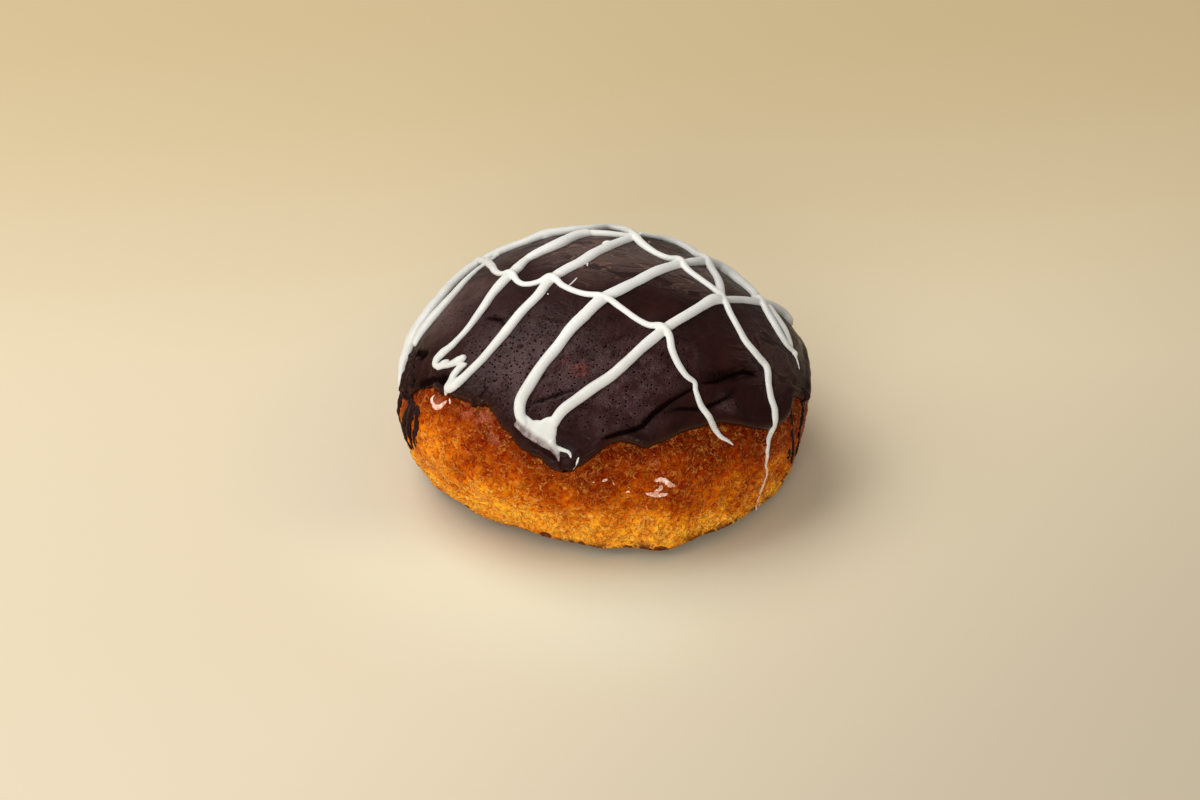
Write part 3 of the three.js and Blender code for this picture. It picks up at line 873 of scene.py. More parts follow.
def icing_top(x, y, edge, points):
    """The height of the icing's face above the skin, in millimetres."""
    inside = np.maximum(edge - np.hypot(x, y), 0)
    roll = np.minimum(1, inside * MM_PER_MAP_UNIT / ROLL_WIDTH)
    bead = ICING_BEAD * hill((inside - BEAD_REACH) / BEAD_REACH)
    swell = 0.2 * noise_at(points, 9, 6.1) + 0.08 * noise_at(points, 2.5, 9.3)
    rough = sum_of_hills(x, y, TORN) * (wrinkles_at(points, 1.5, 1.2, 2.3) - 0.5)
    lack = sum_of_hills(x, y, THINNED)
    thick = ICING_THICKNESS + bead * (1 - lack) + swell + rough - lack + icing_features(x, y)
    return np.maximum(thick, THINNEST) * np.sqrt(1 - np.square(1 - roll))


# %% Where the icing is porous or smeared, and where painted shade and sheen lie
# Each field of the icing's face: the middle and the reach on the map, and the strength.
POROUS = [
    ((-24, -42), 36, 1.0),
    ((8, -56), 26, 0.9),
    ((20, -38), 22, 0.6),
    ((49, -52), 8, 0.9),
    ((-48, -8), 26, 0.3),
]
SMEARED = [
    ((0, 12), 26, 1.0),
    ((30, 12), 26, 0.8),
    ((-20, 40), 34, 0.7),
    ((62, -22), 24, 0.35),
    ((82, -8), 20, 0.4),
]
# Dents in the icing, darkened with painted shade.
DENT_SHADE_FIELDS = [
    ((39, -42), 4, 0.8),
    ((43, -40), 5, 1.0),
    ((48, -37), 5, 1.0),
    ((53, -34), 4, 0.8),
    ((-56, -36), 5, 1.0),
    ((-67, -19), 4, 0.6),
    ((-76, -22), 12, 0.3),
]
RUBBED = [((-11.5, -41), 2.5, 0.6), ((-7, -45.5), 4.5, 1.0)]
# Lighter brown at the left and on the crown: partly the icing's bloom, partly painted sheen.
BLOOM_AND_SHEEN_FIELDS = [((-54, -2), 22, 1.0), ((-46, 10), 18, 0.7), ((-2, 30), 22, 0.6), ((-10, 5), 20, 0.3)]


def strength_at(x, y, fields):
    """How strong a kind of field is at each place, from 0 to 1."""
    return np.clip(sum_of_hills(x, y, fields), 0, 1)


# %% Shape the chocolate shell
ICING_ACROSS = 285
LINING_ACROSS = 44
RIM_CROWDING = 1.35
FACE_SUNK = 0.05
LINING_DEPTH = 0.3
LINING_SET_IN = 1.5


def shape_icing():
    """The icing's face and its hidden lining, joined along their rims, and the marks on its face."""
    bm = bmesh.new()
    face = round_patch(bm, ICING_ACROSS)
    flat_x, flat_y = places_of(face)
    azimuth = np.arctan2(flat_y, flat_x)
    edge = ragged_edge(azimuth)
    percent = edge * (1 - (1 - np.minimum(np.hypot(flat_x, flat_y), 1)) ** RIM_CROWDING)
    x, y = percent * np.cos(azimuth), percent * np.sin(azimuth)
    move_to(face, above(x, y, icing_top(x, y, edge, skin(x, y)) - FACE_SUNK))
    from_edge = (edge - percent) * MM_PER_MAP_UNIT
    marks = {
        "porous": strength_at(x, y, POROUS) * ease(from_edge, 1.6, 5),
        "smeared": strength_at(x, y, SMEARED),
        # Painted shade in the icing's grooves and pits.
        "hollow_shade": np.clip(-6 * icing_features(x, y) - 0.1, 0, 1),
        # Painted shade in the dents.
        "dent_shade": strength_at(x, y, DENT_SHADE_FIELDS),
        "bloom_and_sheen": strength_at(x, y, BLOOM_AND_SHEEN_FIELDS),
        # Partly bloom, partly painted sheen.
        "rubbed": strength_at(x, y, RUBBED),
        "rim": 1 - ease(from_edge, 0.2, 2.6),
    }

    lining = round_patch(bm, LINING_ACROSS)
    flat_x, flat_y = places_of(lining)
    azimuth = np.arctan2(flat_y, flat_x)
    percent = np.hypot(flat_x, flat_y) * (icing_edge(azimuth) - LINING_SET_IN)
    x, y = percent * np.cos(azimuth), percent * np.sin(azimuth)
    move_to(lining, above(x, y, np.full_like(x, -LINING_DEPTH)))
    lining_faces = {f for vert in lining for f in vert.link_faces}
    bmesh.ops.reverse_faces(bm, faces=list(lining_faces))
    bmesh.ops.bridge_loops(bm, edges=list(rims_of(face) | rims_of(lining)))
    bmesh.ops.recalc_face_normals(bm, faces=bm.faces)
    bm.verts.index_update()
    return bm, [vert.index for vert in face], marks


icing_shape, icing_face, icing_marks = shape_icing()
print("the chocolate shell has", len(icing_shape.faces), "faces")

# %% [markdown]
# ## Strands of icing
#
# Both the thin runs of chocolate that got ahead of the edge and the white drizzle are strands that
# lie on what is under them. A strand starts as a flat strip of squares. The strip is rolled into a
# flattened tube along a smooth line on the map, with its own width at each place, and laid at the
# height of what it lies on.

# %% Bend strands along lines on the map
STRAND_STEP = 0.4
SEAM = 0.0005 * MM


def smooth_line(route, step):
    """A smooth line through the points of a route, with a place every step on the map."""
    points = [np.array(p, float) for p in route]
    points = [2 * points[0] - points[1], *points, 2 * points[-1] - points[-2]]
    line = []
    for before, start, end, after in zip(points[:-3], points[1:-2], points[2:-1], points[3:]):
        gaps = [math.sqrt(np.linalg.norm(b - a)) for a, b in ((before, start), (start, end), (end, after))]
        knots = np.cumsum([0, *gaps])
        for t in np.linspace(knots[1], knots[2], 24, endpoint=False):
            a1 = before + (start - before) * (t - knots[0]) / gaps[0]
            a2 = start + (end - start) * (t - knots[1]) / gaps[1]
            a3 = end + (after - end) * (t - knots[2]) / gaps[2]
            b1 = a1 + (a2 - a1) * (t - knots[0]) / (knots[2] - knots[0])
            b2 = a2 + (a3 - a2) * (t - knots[1]) / (knots[3] - knots[1])
            line.append(b1 + (b2 - b1) * (t - knots[1]) / gaps[1])
    line = np.array([*line, points[-2]])
    along = np.concatenate([[0], np.cumsum(np.hypot(*np.diff(line, axis=0).T))])
    even = np.linspace(0, along[-1], max(3, round(along[-1] / step)))
    return np.stack([np.interp(even, along, line[:, 0]), np.interp(even, along, line[:, 1])], axis=-1)


def add_strand(bm, line, half_width, thickness, bed, sides=14):
    """Adds a strand along a line on the map, with a half width, thickness and bed for each place."""
    strip = bmesh.ops.create_grid(bm, x_segments=sides, y_segments=len(line) - 1, size=1)["verts"]
    round_x, along_y = places_of(strip)
    turn = math.pi * round_x
    ring = np.rint((along_y + 1) / 2 * (len(line) - 1)).astype(int)
    heading = unit(np.gradient(line, axis=0)) * MAP_NUDGE
    x, y = line[:, 0], line[:, 1]
    up = skin_normal(x, y)
    along = skin(x + heading[:, 0], y + heading[:, 1]) - skin(x - heading[:, 0], y - heading[:, 1])
    side = unit(np.cross(along, up))
    across = (np.sin(turn) * half_width[ring])[:, None] * side[ring]
    rise = (-np.cos(turn) * thickness[ring])[:, None] * up[ring]
    move_to(strip, above(x, y, bed)[ring] + across + rise)
    bmesh.ops.remove_doubles(bm, verts=strip, dist=SEAM)
    strip = [vert for vert in strip if vert.is_valid]
    bmesh.ops.holes_fill(bm, edges=list(rims_of(strip)), sides=0)
    bmesh.ops.recalc_face_normals(bm, faces=list({f for vert in strip for f in vert.link_faces}))


# %% The runs of chocolate
# Each run's route on the map, with its width in millimetres at each place.
CHOCOLATE_RUNS = [
    [
        (-86, -20, 1.4), (-92, -25, 1.8), (-97, -28, 2.2), (-103, -32, 1.8), (-110, -36, 1.0),
        (-118, -41, 0.6),
    ],
    [
        (-80, -30, 2.0), (-80, -36, 2.2), (-86, -38, 2.4), (-94, -41, 2.6), (-100, -45, 2.2),
        (-104, -50, 1.8), (-110, -55, 0.8),
    ],
    [(-76, -36, 2.4), (-79, -39, 2.8), (-84, -42, 2.4), (-90, -46, 1.6), (-96, -51, 1.2), (-101, -56, 0.7)],
    [(-75, -38, 1.6), (-76, -42, 2.0), (-79, -46, 1.4), (-82, -50, 1.2), (-86, -54, 0.7)],
    [(-83, -47, 0.6), (-88, -52, 1.0), (-94, -58, 0.5)],
    [(80, -34, 1.0), (84, -40, 1.1), (90, -44, 0.9), (107, -50, 0.8), (124, -55, 1.1), (146, -59, 0.6)],
    [
        (84, -24, 1.4), (90, -30, 2.0), (95, -34, 1.8), (102, -39, 1.1), (118, -44, 0.8), (146, -48, 0.8),
        (156, -48, 0.5),
    ],
    [(106, -55, 0.7), (112, -57, 1.1), (119, -60, 0.8)],
]
RUN_RAISED = 0.05
RUN_FLATNESS = 0.7


def taper(count, rounded):
    """1 along a strand, rounding off to nothing over the last few places at each end."""
    steps = np.arange(count)
    from_end = np.minimum(steps, count - 1 - steps) / rounded
    return np.sqrt(1 - np.square(1 - np.minimum(1, from_end + 0.05)))


def half_widths(route, line):
    """Half the width along a strand's line, read from the places of its route."""
    nearest = [np.argmin(np.hypot(line[:, 0] - x, line[:, 1] - y)) for x, y, _ in route]
    halves = [width / 2 for _, _, width in route]
    return np.interp(np.arange(len(line)), np.maximum.accumulate(nearest), halves)


def run_down(bm):
    """Adds the runs, with their uneven widths, on top of the icing and past its edge."""
    for number, route in enumerate(CHOCOLATE_RUNS):
        line = smooth_line([place[:2] for place in route], STRAND_STEP)
        places = skin(line[:, 0], line[:, 1])
        uneven = 1 + 0.3 * noise_at(places, 1.6, number)
        half_width = half_widths(route, line) * taper(len(line), 4) * uneven
        edge = icing_edge(np.arctan2(line[:, 1], line[:, 0]))
        bed = icing_top(line[:, 0], line[:, 1], edge, places) + RUN_RAISED
        add_strand(bm, line, half_width, RUN_FLATNESS * half_width, bed, sides=12)


run_down(icing_shape)
icing_mesh = bpy.data.meshes.new("icing")
icing_shape.to_mesh(icing_mesh)
icing_shape.free()
for mark, numbers in icing_marks.items():
    keep(icing_mesh, mark, icing_face, numbers)


# %% [markdown]
# ## The chocolate's finish
#
# Set chocolate icing is a dark satin brown, glossier along its edge. Air has escaped through it at
# the front and left fine pin holes in a greyer skin, each ringed with a painted highlight. On the
# crown it dried in wavy smears, and in one spot it is rubbed thin. At the left and on the crown it is
# a lighter brown, partly its own bloom and partly painted sheen. The pin holes are too fine for the
# mesh, so they are made by scattered dots that darken the colour with painted shade and press the
# surface in. Holes, grooves, creases and dents are painted dark as shade and also lose their sheen,
# or they would shine instead of looking deep.

# %% Colour the chocolate
def add_pin_holes(tree, place, tone):
    """The tone with a greyer skin, pin holes in painted shade and rings of painted highlight, and the share
    of each.
    """
    porous = stored(tree, "porous")
    wander = times(tree, minus(tree, cloud(tree, place, 1.1, 3), 0.5), 0.5)
    spread = plus(tree, dots(tree, place, 1.1), wander)
    fine_spread = plus(tree, dots(tree, place, 2.1), wander)
    patchy = span(tree, cloud(tree, place, 0.3, 4, 0.65), 0.36, 0.62, 0.25, 1.0)
    film = times(tree, porous, patchy, span(tree, spread, 0.26, 0.4))
    tone = mix(tree, times(tree, film, 0.48), tone, screen(80, 54, 54))
    # A ring of painted highlight round each hole.
    rings = times(tree, porous, patchy, span(tree, spread, 0.25, 0.3), span(tree, spread, 0.32, 0.44, 1, 0))
    tone = mix(tree, times(tree, rings, 0.45), tone, screen(112, 90, 92))
    # Painted shade in the holes.
    fine_holes = times(tree, span(tree, fine_spread, 0.12, 0.2, 1, 0), 0.7)
    holes = highest(tree, span(tree, spread, 0.2, 0.27, 1, 0), fine_holes)
    holes = times(tree, holes, span(tree, porous, 0.05, 0.4))
    return mix(tree, times(tree, holes, 0.9), tone, screen(18, 5, 4)), film, rings, holes


def add_smears(tree, place, tone):
    """The tone with wavy smears, which run from left to right, and their fine pale edges."""
    long_way = add(tree, "VectorMath", {"operation": "MULTIPLY"})
    wire(tree, long_way.inputs[0], place)
    long_way.inputs[1].default_value = (0.22, 0.9, 1)
    smears = cloud(tree, long_way.outputs[0], 0.3, 4, 0.55, 1.2)
    smeared = stored(tree, "smeared")
    tone = mix(tree, times(tree, smeared, span(tree, smears, 0.5, 0.58, 0, 0.7)), tone, screen(92, 68, 60))
    edges = times(tree, smeared, line_of(tree, smears, 0.025), 0.8)
    return mix(tree, edges, tone, screen(140, 108, 90)), smeared


def chocolate_material():
    paint, tree, shader, place = new_material("chocolate_icing")
    mottle = span(tree, cloud(tree, place, 0.13, 4, 0.6, 0.4), 0.32, 0.68)
    tone = mix(tree, mottle, screen(28, 9, 6), screen(40, 16, 12))
    rim = stored(tree, "rim")
    tone = mix(tree, times(tree, rim, 0.5), tone, screen(50, 19, 8))
    # Lighter brown at the left and on the crown: partly bloom, partly painted sheen.
    bloom_and_sheen_share = span(tree, cloud(tree, place, 0.12, 3), 0.35, 0.65, 0.4, 1.0)
    bloom_and_sheen_share = times(tree, stored(tree, "bloom_and_sheen"), bloom_and_sheen_share)
    tone = mix(tree, times(tree, bloom_and_sheen_share, 0.7), tone, screen(80, 52, 46))
    tone, film, rings, holes = add_pin_holes(tree, place, tone)
    tone, smeared = add_smears(tree, place, tone)
    rubbed = times(tree, stored(tree, "rubbed"), span(tree, cloud(tree, place, 0.6, 3, 0.6), 0.35, 0.65))
    tone = mix(tree, times(tree, rubbed, 0.45), tone, screen(146, 56, 40))
    # Painted shade in grooves, pits and dents, grainy in the dents.
    grit = span(tree, cloud(tree, place, 1.0, 3, 0.6), 0.4, 0.62)
    dent_shade = times(tree, stored(tree, "dent_shade"), minus(tree, 1.0, times(tree, grit, 0.45)))
    hollow_shade = highest(tree, stored(tree, "hollow_shade"), dent_shade)
    tone = mix(tree, times(tree, hollow_shade, 0.9), tone, screen(9, 3, 3))
    wire(tree, shader.inputs["Base Color"], tone)

    dull = span(tree, cloud(tree, place, 0.3, 3), 0.3, 0.7, 0.3, 0.44)
    wire(tree, shader.inputs["Roughness"], minus(tree, dull, times(tree, rim, 0.16)))
    sheen = highest(tree, film, bloom_and_sheen_share, smeared, rings, times(tree, rim, 0.6))
    sheen = plus(tree, times(tree, sheen, 0.14), 0.06)
    lit = minus(tree, 1.0, times(tree, highest(tree, hollow_shade, holes), 0.9))
    wire(tree, shader.inputs["Specular IOR Level"], times(tree, sheen, lit))
    fine = times(tree, cloud(tree, place, 1.1, 3), 0.8)
    bubbly = times(tree, film, cloud(tree, place, 1.8, 2), 1.2)
    relief = minus(tree, plus(tree, fine, bubbly), holes)
    grain = add(tree, "Bump", Strength=0.9, Distance=0.2 * MM, Height=relief)
    wire(tree, shader.inputs["Normal"], grain.outputs["Normal"])
    return paint


icing = finish_object("chocolate_shell", icing_mesh, chocolate_material())
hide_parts("icing")

# %% [markdown]
# ## The white drizzle
#
# White icing was swung over the chocolate from a nozzle: first in thick strands, then across them in
# thin ones that sag into place. Where strands cross they have melted together. All the strands are
# laid as closed tubes, fused by a voxel remesh and smoothed, which rounds their joints as the real
# icing did.

# %% The strands of the drizzle
# Each strand's route on the map, with its width in millimetres at each place.
THICK_DRIZZLE = [
    [(-26, 76, 0.9), (-46, 62, 2.2), (-66, 44, 2.2), (-82, 26, 2.2), (-88, 6, 2.0)],
    [
        (-94, -21, 0.7), (-91, -14, 1.8), (-86, -7, 3.2), (-80, -2.5, 4.2), (-74, 3.5, 4.4), (-68, 10, 4.0),
        (-63, 17, 3.7), (-58, 27, 3.6), (-51, 34, 3.6), (-46, 36, 3.2), (-40, 36, 3.2), (-33, 36, 3.0),
        (-26, 36, 3.0), (-19, 38, 3.6), (-12, 38, 3.0), (-3, 41, 2.8), (3, 49, 2.4), (9, 47, 2.6),
        (12, 37, 2.6),
    ],
    [
        (-75, -7, 1.8), (-71, -4, 2.6), (-66, -1, 3.0), (-61, 3, 2.8), (-55, 10, 2.4), (-50, 18, 1.9),
        (-46, 24, 1.5), (-41, 30, 1.5), (-38, 34, 1.2),
    ],
    [
        (-45, -30, 1.6), (-48, -31, 2.2), (-52, -31, 1.6), (-56, -30, 1.3), (-59, -28, 1.5),
        (-58, -26, 2.0), (-55, -24.5, 2.2), (-51, -23, 1.8), (-47, -20, 1.6), (-43, -16, 1.9),
        (-39, -10, 2.2), (-36, -3, 2.5), (-33, 3, 2.9), (-29, 10, 3.0), (-26, 15, 2.1), (-22, 18, 2.9),
        (-14, 23, 3.3), (-7, 31, 3.2), (-3, 33, 2.8),
    ],
    [(-4, 33, 2.6), (3, 32, 2.4), (8, 32, 2.2), (12, 32, 1.8)],
    [
        (-53, -42, 1.8), (-50, -40.5, 2.4), (-46, -38, 2.1), (-40, -34, 2.1), (-35, -29.5, 2.2),
        (-30, -24, 2.4), (-25, -17, 2.4), (-20, -10.5, 2.4), (-17, -4, 2.6), (-12, 2, 2.7), (-5, 8.5, 2.7),
        (1, 16, 2.7), (6, 23, 2.6), (12, 31, 2.3),
    ],
    [
        (-45, -33, 1.0), (-48, -34, 1.8), (-50.5, -36, 2.0), (-52, -38.5, 2.0), (-54.5, -40.5, 1.7),
        (-57.5, -42, 0.7),
    ],
    [
        (-28, -65, 2.2), (-29, -59, 2.6), (-28, -54, 2.8), (-24, -48, 2.8), (-19, -41, 2.7),
        (-14, -35, 2.6), (-10, -29, 2.7), (-5, -23, 2.9), (0, -17, 2.9), (6, -12, 2.9), (12, -5, 2.7),
        (19, 2.5, 2.7), (27, 11, 2.6), (35, 20, 2.6), (41, 27, 3.2), (47, 31, 3.8), (53, 29, 3.8),
        (57, 22, 3.4), (59, 14, 2.8), (57, 7, 2.2),
    ],
    [
        (-18, -66, 2.4), (-14, -61, 2.5), (-8, -57, 2.6), (-2, -53, 2.6), (4, -49, 2.5), (10, -43, 2.5),
        (15, -36.5, 2.5), (19, -31, 2.6), (24, -23.5, 2.4), (29, -17, 2.4), (34, -10.5, 2.6), (38, -6, 3.0),
        (42, -4, 2.2), (48, 0, 2.1), (54, 3.5, 2.2), (60, 7, 2.6), (67, 10.5, 3.2), (73, 12.5, 3.6),
        (78, 11, 2.8),
    ],
    [(-20, -72, 2.6), (-18.2, -77, 1.6), (-17.5, -80, 0.9), (-17.5, -82.5, 0.4)],
    [(-18, -75.5, 1.3), (-15.2, -77, 0.95), (-12.8, -78.5, 0.85), (-12.2, -81.5, 0.5)],
]
THIN_DRIZZLE = [
    [
        (-70, 62, 0.8), (-57, 47, 1.6), (-44, 31, 2.2), (-40, 21, 2.0), (-37.5, 13, 1.7), (-34, 8, 1.6),
        (-31, 6, 1.8), (-28, 0, 1.6), (-25, -3, 1.6), (-20, -3.5, 1.6), (-16.5, -2, 1.8), (-12, -7, 1.6),
        (-6, -12, 1.6), (0, -15, 1.7), (4, -17, 1.7), (8, -20, 1.6), (13, -24, 1.6), (17, -26, 1.6),
        (21, -26, 1.8), (23.5, -29, 1.9), (25, -35, 1.8), (28, -41, 1.7), (31, -44.5, 1.5), (34, -46, 1.4),
        (35, -49, 1.3), (37.6, -54, 1.6), (41, -57.3, 1.6), (45.2, -60.4, 1.65), (48.3, -62.7, 1.4),
        (51.6, -64.6, 1.1), (55.4, -65.2, 0.85), (59.2, -66.3, 0.4),
    ],
    [
        (11, 37, 1.8), (13, 30, 2.2), (16.5, 24, 2.2), (21, 18, 2.0), (25, 15, 2.0), (28, 15, 2.1),
        (30, 9.5, 1.9), (34, 5, 1.9), (38, 1, 1.8), (40.5, -3, 1.7), (43.3, -9.5, 1.7), (46.5, -16, 1.7),
        (50.5, -22, 1.8), (55.5, -25.5, 2.0), (60, -28, 2.0), (63, -35, 1.7), (66, -40, 1.8),
        (69.5, -43.5, 1.8), (71.3, -47.5, 1.75), (74.3, -51.7, 1.5), (75.5, -57, 1.25), (80.6, -63.3, 1.0),
    ],
    [
        (14, 37, 1.6), (19, 40, 2.0), (25, 43, 2.4), (31, 42, 2.8), (36, 35, 2.8), (39, 28, 2.4),
        (41, 20, 2.2), (42, 11, 2.2), (41.5, 3, 2.2), (40.5, -3, 2.0),
    ],
    [
        (58, 9, 2.0), (60, 2, 2.0), (62.5, -4, 2.1), (66, -9, 2.0), (69.5, -11.5, 1.7), (72.5, -12, 1.5),
        (75.5, -14, 0.8), (79, -18, 0.4),
    ],
    [(62, 6, 1.6), (65, 1.5, 2.0), (68, -3.5, 2.0), (70.5, -8, 1.6), (72, -11, 1.3)],
    [(-46, 60, 0.6), (-28, 54, 1.5), (-8, 58, 1.5), (12, 68, 1.5), (32, 76, 1.4), (46, 80, 1.0)],
]

# Strands too fine to fuse: the tail of one drizzle, and splinters that flew off the nozzle.
FINE_DRIZZLE = [
    [
        (79, -61.5, 1.0), (84, -66, 0.85), (92.5, -71.7, 0.7), (107.3, -79.8, 0.65), (112.5, -86, 0.65),
        (119, -93.5, 0.75), (127.6, -99, 0.65), (148, -112, 0.5),
    ],
    [(-7.5, -2.5, 0.3), (-9, -5.5, 0.4), (-11.5, -9, 0.3)],
    [(-4, 8, 0.6), (-4.3, 4.5, 0.3)],
    [(-17, -9.5, 0.35), (-16.5, -10.5, 0.35)],
    [(18, 30, 0.4), (18.5, 31.5, 0.4)],
    [(-8.9, -80.6, 0.3), (-9.9, -83.2, 0.45), (-12, -86.4, 0.35)],
]


# %% Lay the drizzle
PLUMPNESS = 0.78
RAISED = 0.3
SUNK = 0.12
SETTLED_OVER = 15
CROSSING_RISE = 0.9
CROSSING_MARGIN = 0.4


def bed_at(x, y):
    """The height of what a strand lies on, above the skin: the icing, or the crust beyond its edge."""
    points = skin(x, y)
    top = icing_top(x, y, icing_edge(np.arctan2(y, x)), points)
    return np.maximum(top, crust_relief(points, x, y)) - SUNK


def settled(heights):
    """The running mean of the heights along a strand, which is too stiff to follow every dip."""
    padded = np.pad(heights, SETTLED_OVER // 2, mode="edge")
    return np.convolve(padded, np.ones(SETTLED_OVER) / SETTLED_OVER, "valid")


def lay_strands(bm, routes, crossed=()):
    """Lays strands along their routes, over the strands that they cross, and returns where they lie."""
    laid = []
    for route in routes:
        line = smooth_line([place[:2] for place in route], STRAND_STEP)
        uneven = 1 + 0.06 * noise_at(skin(line[:, 0], line[:, 1]), 5, route[0][2])
        half_width = half_widths(route, line) * uneven
        ground = bed_at(line[:, 0], line[:, 1])
        bed = ground
        for under_line, under_width in crossed:
            away = np.hypot(line[:, None, 0] - under_line[:, 0], line[:, None, 1] - under_line[:, 1])
            nearest = under_width[np.argmin(away, axis=1)]
            share = np.min(away, axis=1) * MM_PER_MAP_UNIT / (nearest + CROSSING_MARGIN)
            bed = np.maximum(bed, ground + CROSSING_RISE * PLUMPNESS * nearest * np.exp(-share**2))
        round_ends = taper(len(line), 3)
        thickness = PLUMPNESS * half_width * round_ends
        add_strand(bm, line, half_width * round_ends, thickness, settled(bed) + RAISED * thickness)
        laid.append((line, half_width))
    return laid


drizzle_shape = bmesh.new()
thick_strands = lay_strands(drizzle_shape, THICK_DRIZZLE)
lay_strands(drizzle_shape, THIN_DRIZZLE, crossed=thick_strands)
print("the drizzle's strands have", len(drizzle_shape.faces), "faces")


# %% Webs and blobs where the drizzle pooled
# The turning point of the drizzle ran together into a web: its outline on the map, and its height.
WEB_MIDDLE = (-22.5, -68)
WEB_OUTLINE = [
    (-32.5, -62.5), (-30.5, -66), (-27.5, -70), (-25, -72.5), (-22.5, -75), (-19.5, -77), (-17.5, -74),
    (-17.3, -71), (-16.5, -67), (-14.5, -64.5), (-18, -62.3), (-22, -63.2), (-25, -62.5), (-27, -59.5),
]
WEB_HEIGHT = 0.8
WEB_DEPTH = 0.3
WEB_ACROSS = 28

# Blobs: the middle and the two reaches on the map, the turn in degrees and the height.
BLOBS = [
    ((-52.5, -40.5), (3.2, 2.4), 20, 0.95),
    ((-55.5, -29.5), (3.4, 1.8), 10, 0.8),
    ((3, 21.5), (2.2, 1.8), 0, 1.2),
    ((-19, 38), (3.8, 3.0), 0, 1.7),
    ((-49, 37), (6.5, 3.2), 35, 1.7),
    ((74, -12.5), (1.6, 1.3), 0, 0.9),
    ((50, 30), (9, 3.4), -15, 1.9),
    ((74, 12), (5, 3.0), -10, 1.8),
]


def add_web(bm):
    """Adds the web as two sheets of the same outline, one over the other, joined along their rims."""
    corners = np.array(WEB_OUTLINE) - WEB_MIDDLE
    angles = np.arctan2(corners[:, 1], corners[:, 0])
    order = np.argsort(angles)
    for height in (WEB_HEIGHT, -WEB_DEPTH):
        sheet = round_patch(bm, WEB_ACROSS)
        flat_x, flat_y = places_of(sheet)
        share = np.minimum(np.hypot(flat_x, flat_y), 1)
        turn = np.arctan2(flat_y, flat_x)
        reach = np.interp(turn, angles[order], np.hypot(*corners[order].T), period=2 * math.pi)
        x = WEB_MIDDLE[0] + share * reach * np.cos(turn)
        y = WEB_MIDDLE[1] + share * reach * np.sin(turn)
        move_to(sheet, above(x, y, bed_at(x, y) + height * np.sqrt(1 - share**4)))
        rims = rims_of(sheet) if height > 0 else rims | rims_of(sheet)
    bmesh.ops.bridge_loops(bm, edges=list(rims))


def add_blob(bm, at, reach, turn, height):
    """Adds a flattened ball that lies on the icing."""
    ball = bmesh.ops.create_icosphere(bm, subdivisions=4, radius=1)["verts"]
    local = np.array([vert.co[:] for vert in ball])
    angle = math.radians(turn)
    x = at[0] + local[:, 0] * reach[0] * math.cos(angle) - local[:, 1] * reach[1] * math.sin(angle)
    y = at[1] + local[:, 0] * reach[0] * math.sin(angle) + local[:, 1] * reach[1] * math.cos(angle)
    bed = float(bed_at(np.array([at[0]]), np.array([at[1]]))[0])
    move_to(ball, above(x, y, bed + height * local[:, 2]))


add_web(drizzle_shape)
for blob in BLOBS:
    add_blob(drizzle_shape, *blob)
bmesh.ops.recalc_face_normals(drizzle_shape, faces=drizzle_shape.faces)


# %% Fuse the drizzle
VOXEL = 0.17
KEPT_SHARE = 0.3
SOFTENING_PASSES = 5


def applied(mesh, modifier, **settings):
    """The mesh after one modifier."""
    holder = bpy.data.objects.new("holder", mesh)
    bpy.context.scene.collection.objects.link(holder)
    made = holder.modifiers.new("change", modifier)
    for name, value in settings.items():
        setattr(made, name, value)
    bpy.context.view_layer.update()
    view = bpy.context.evaluated_depsgraph_get()
    changed = bpy.data.meshes.new_from_object(holder.evaluated_get(view))
    bpy.data.objects.remove(holder)
    return changed


strand_mesh = bpy.data.meshes.new("strands")
drizzle_shape.to_mesh(strand_mesh)
drizzle_shape.free()
fused = applied(strand_mesh, "REMESH", mode="VOXEL", voxel_size=VOXEL * MM)
soften = bmesh.new()
soften.from_mesh(fused)
every_way = {"use_axis_x": True, "use_axis_y": True, "use_axis_z": True}
for _ in range(SOFTENING_PASSES):
    bmesh.ops.smooth_vert(soften, verts=soften.verts, factor=0.5, **every_way)
soften.to_mesh(fused)
soften.free()
fused = applied(fused, "DECIMATE", ratio=KEPT_SHARE)
print("the fused drizzle has", len(fused.polygons), "faces")

# %% Add the fine strands
drizzle_shape = bmesh.new()
drizzle_shape.from_mesh(fused)
lay_strands(drizzle_shape, FINE_DRIZZLE)
drizzle_mesh = bpy.data.meshes.new("drizzle")
drizzle_shape.to_mesh(drizzle_mesh)
drizzle_shape.free()

# The lower left edge of the pool is so thin that the chocolate shows through it.
SHEER_LINE = [(-32, -63), (-29.5, -66.5), (-26.5, -70.5), (-24, -73), (-21, -76), (-18.5, -81)]
SHEER_REACH = 3.0
sheer_line = smooth_line(SHEER_LINE, 1)
sheer_at = above(*sheer_line.T, np.full(len(sheer_line), ICING_THICKNESS + 0.3))
drizzle_at = np.array([vert.co[:] for vert in drizzle_mesh.vertices]) / MM
sheer = np.zeros(len(drizzle_at))
for place in sheer_at:
    sheer = np.maximum(sheer, hill(np.linalg.norm(drizzle_at - place, axis=1) / SHEER_REACH))
keep(drizzle_mesh, "sheer", np.arange(len(drizzle_at)), sheer)


# %% [markdown]
# ## The white icing's finish
#
# Sugar icing is white with a touch of cream, and a painted highlight makes it brightest on the crown.
# Light goes a little way into it, which softens its shadows. It dries to a satin skin. The lower edge of
# the pool and the end of the long tail are thin, so they take on the colour of what they lie on.

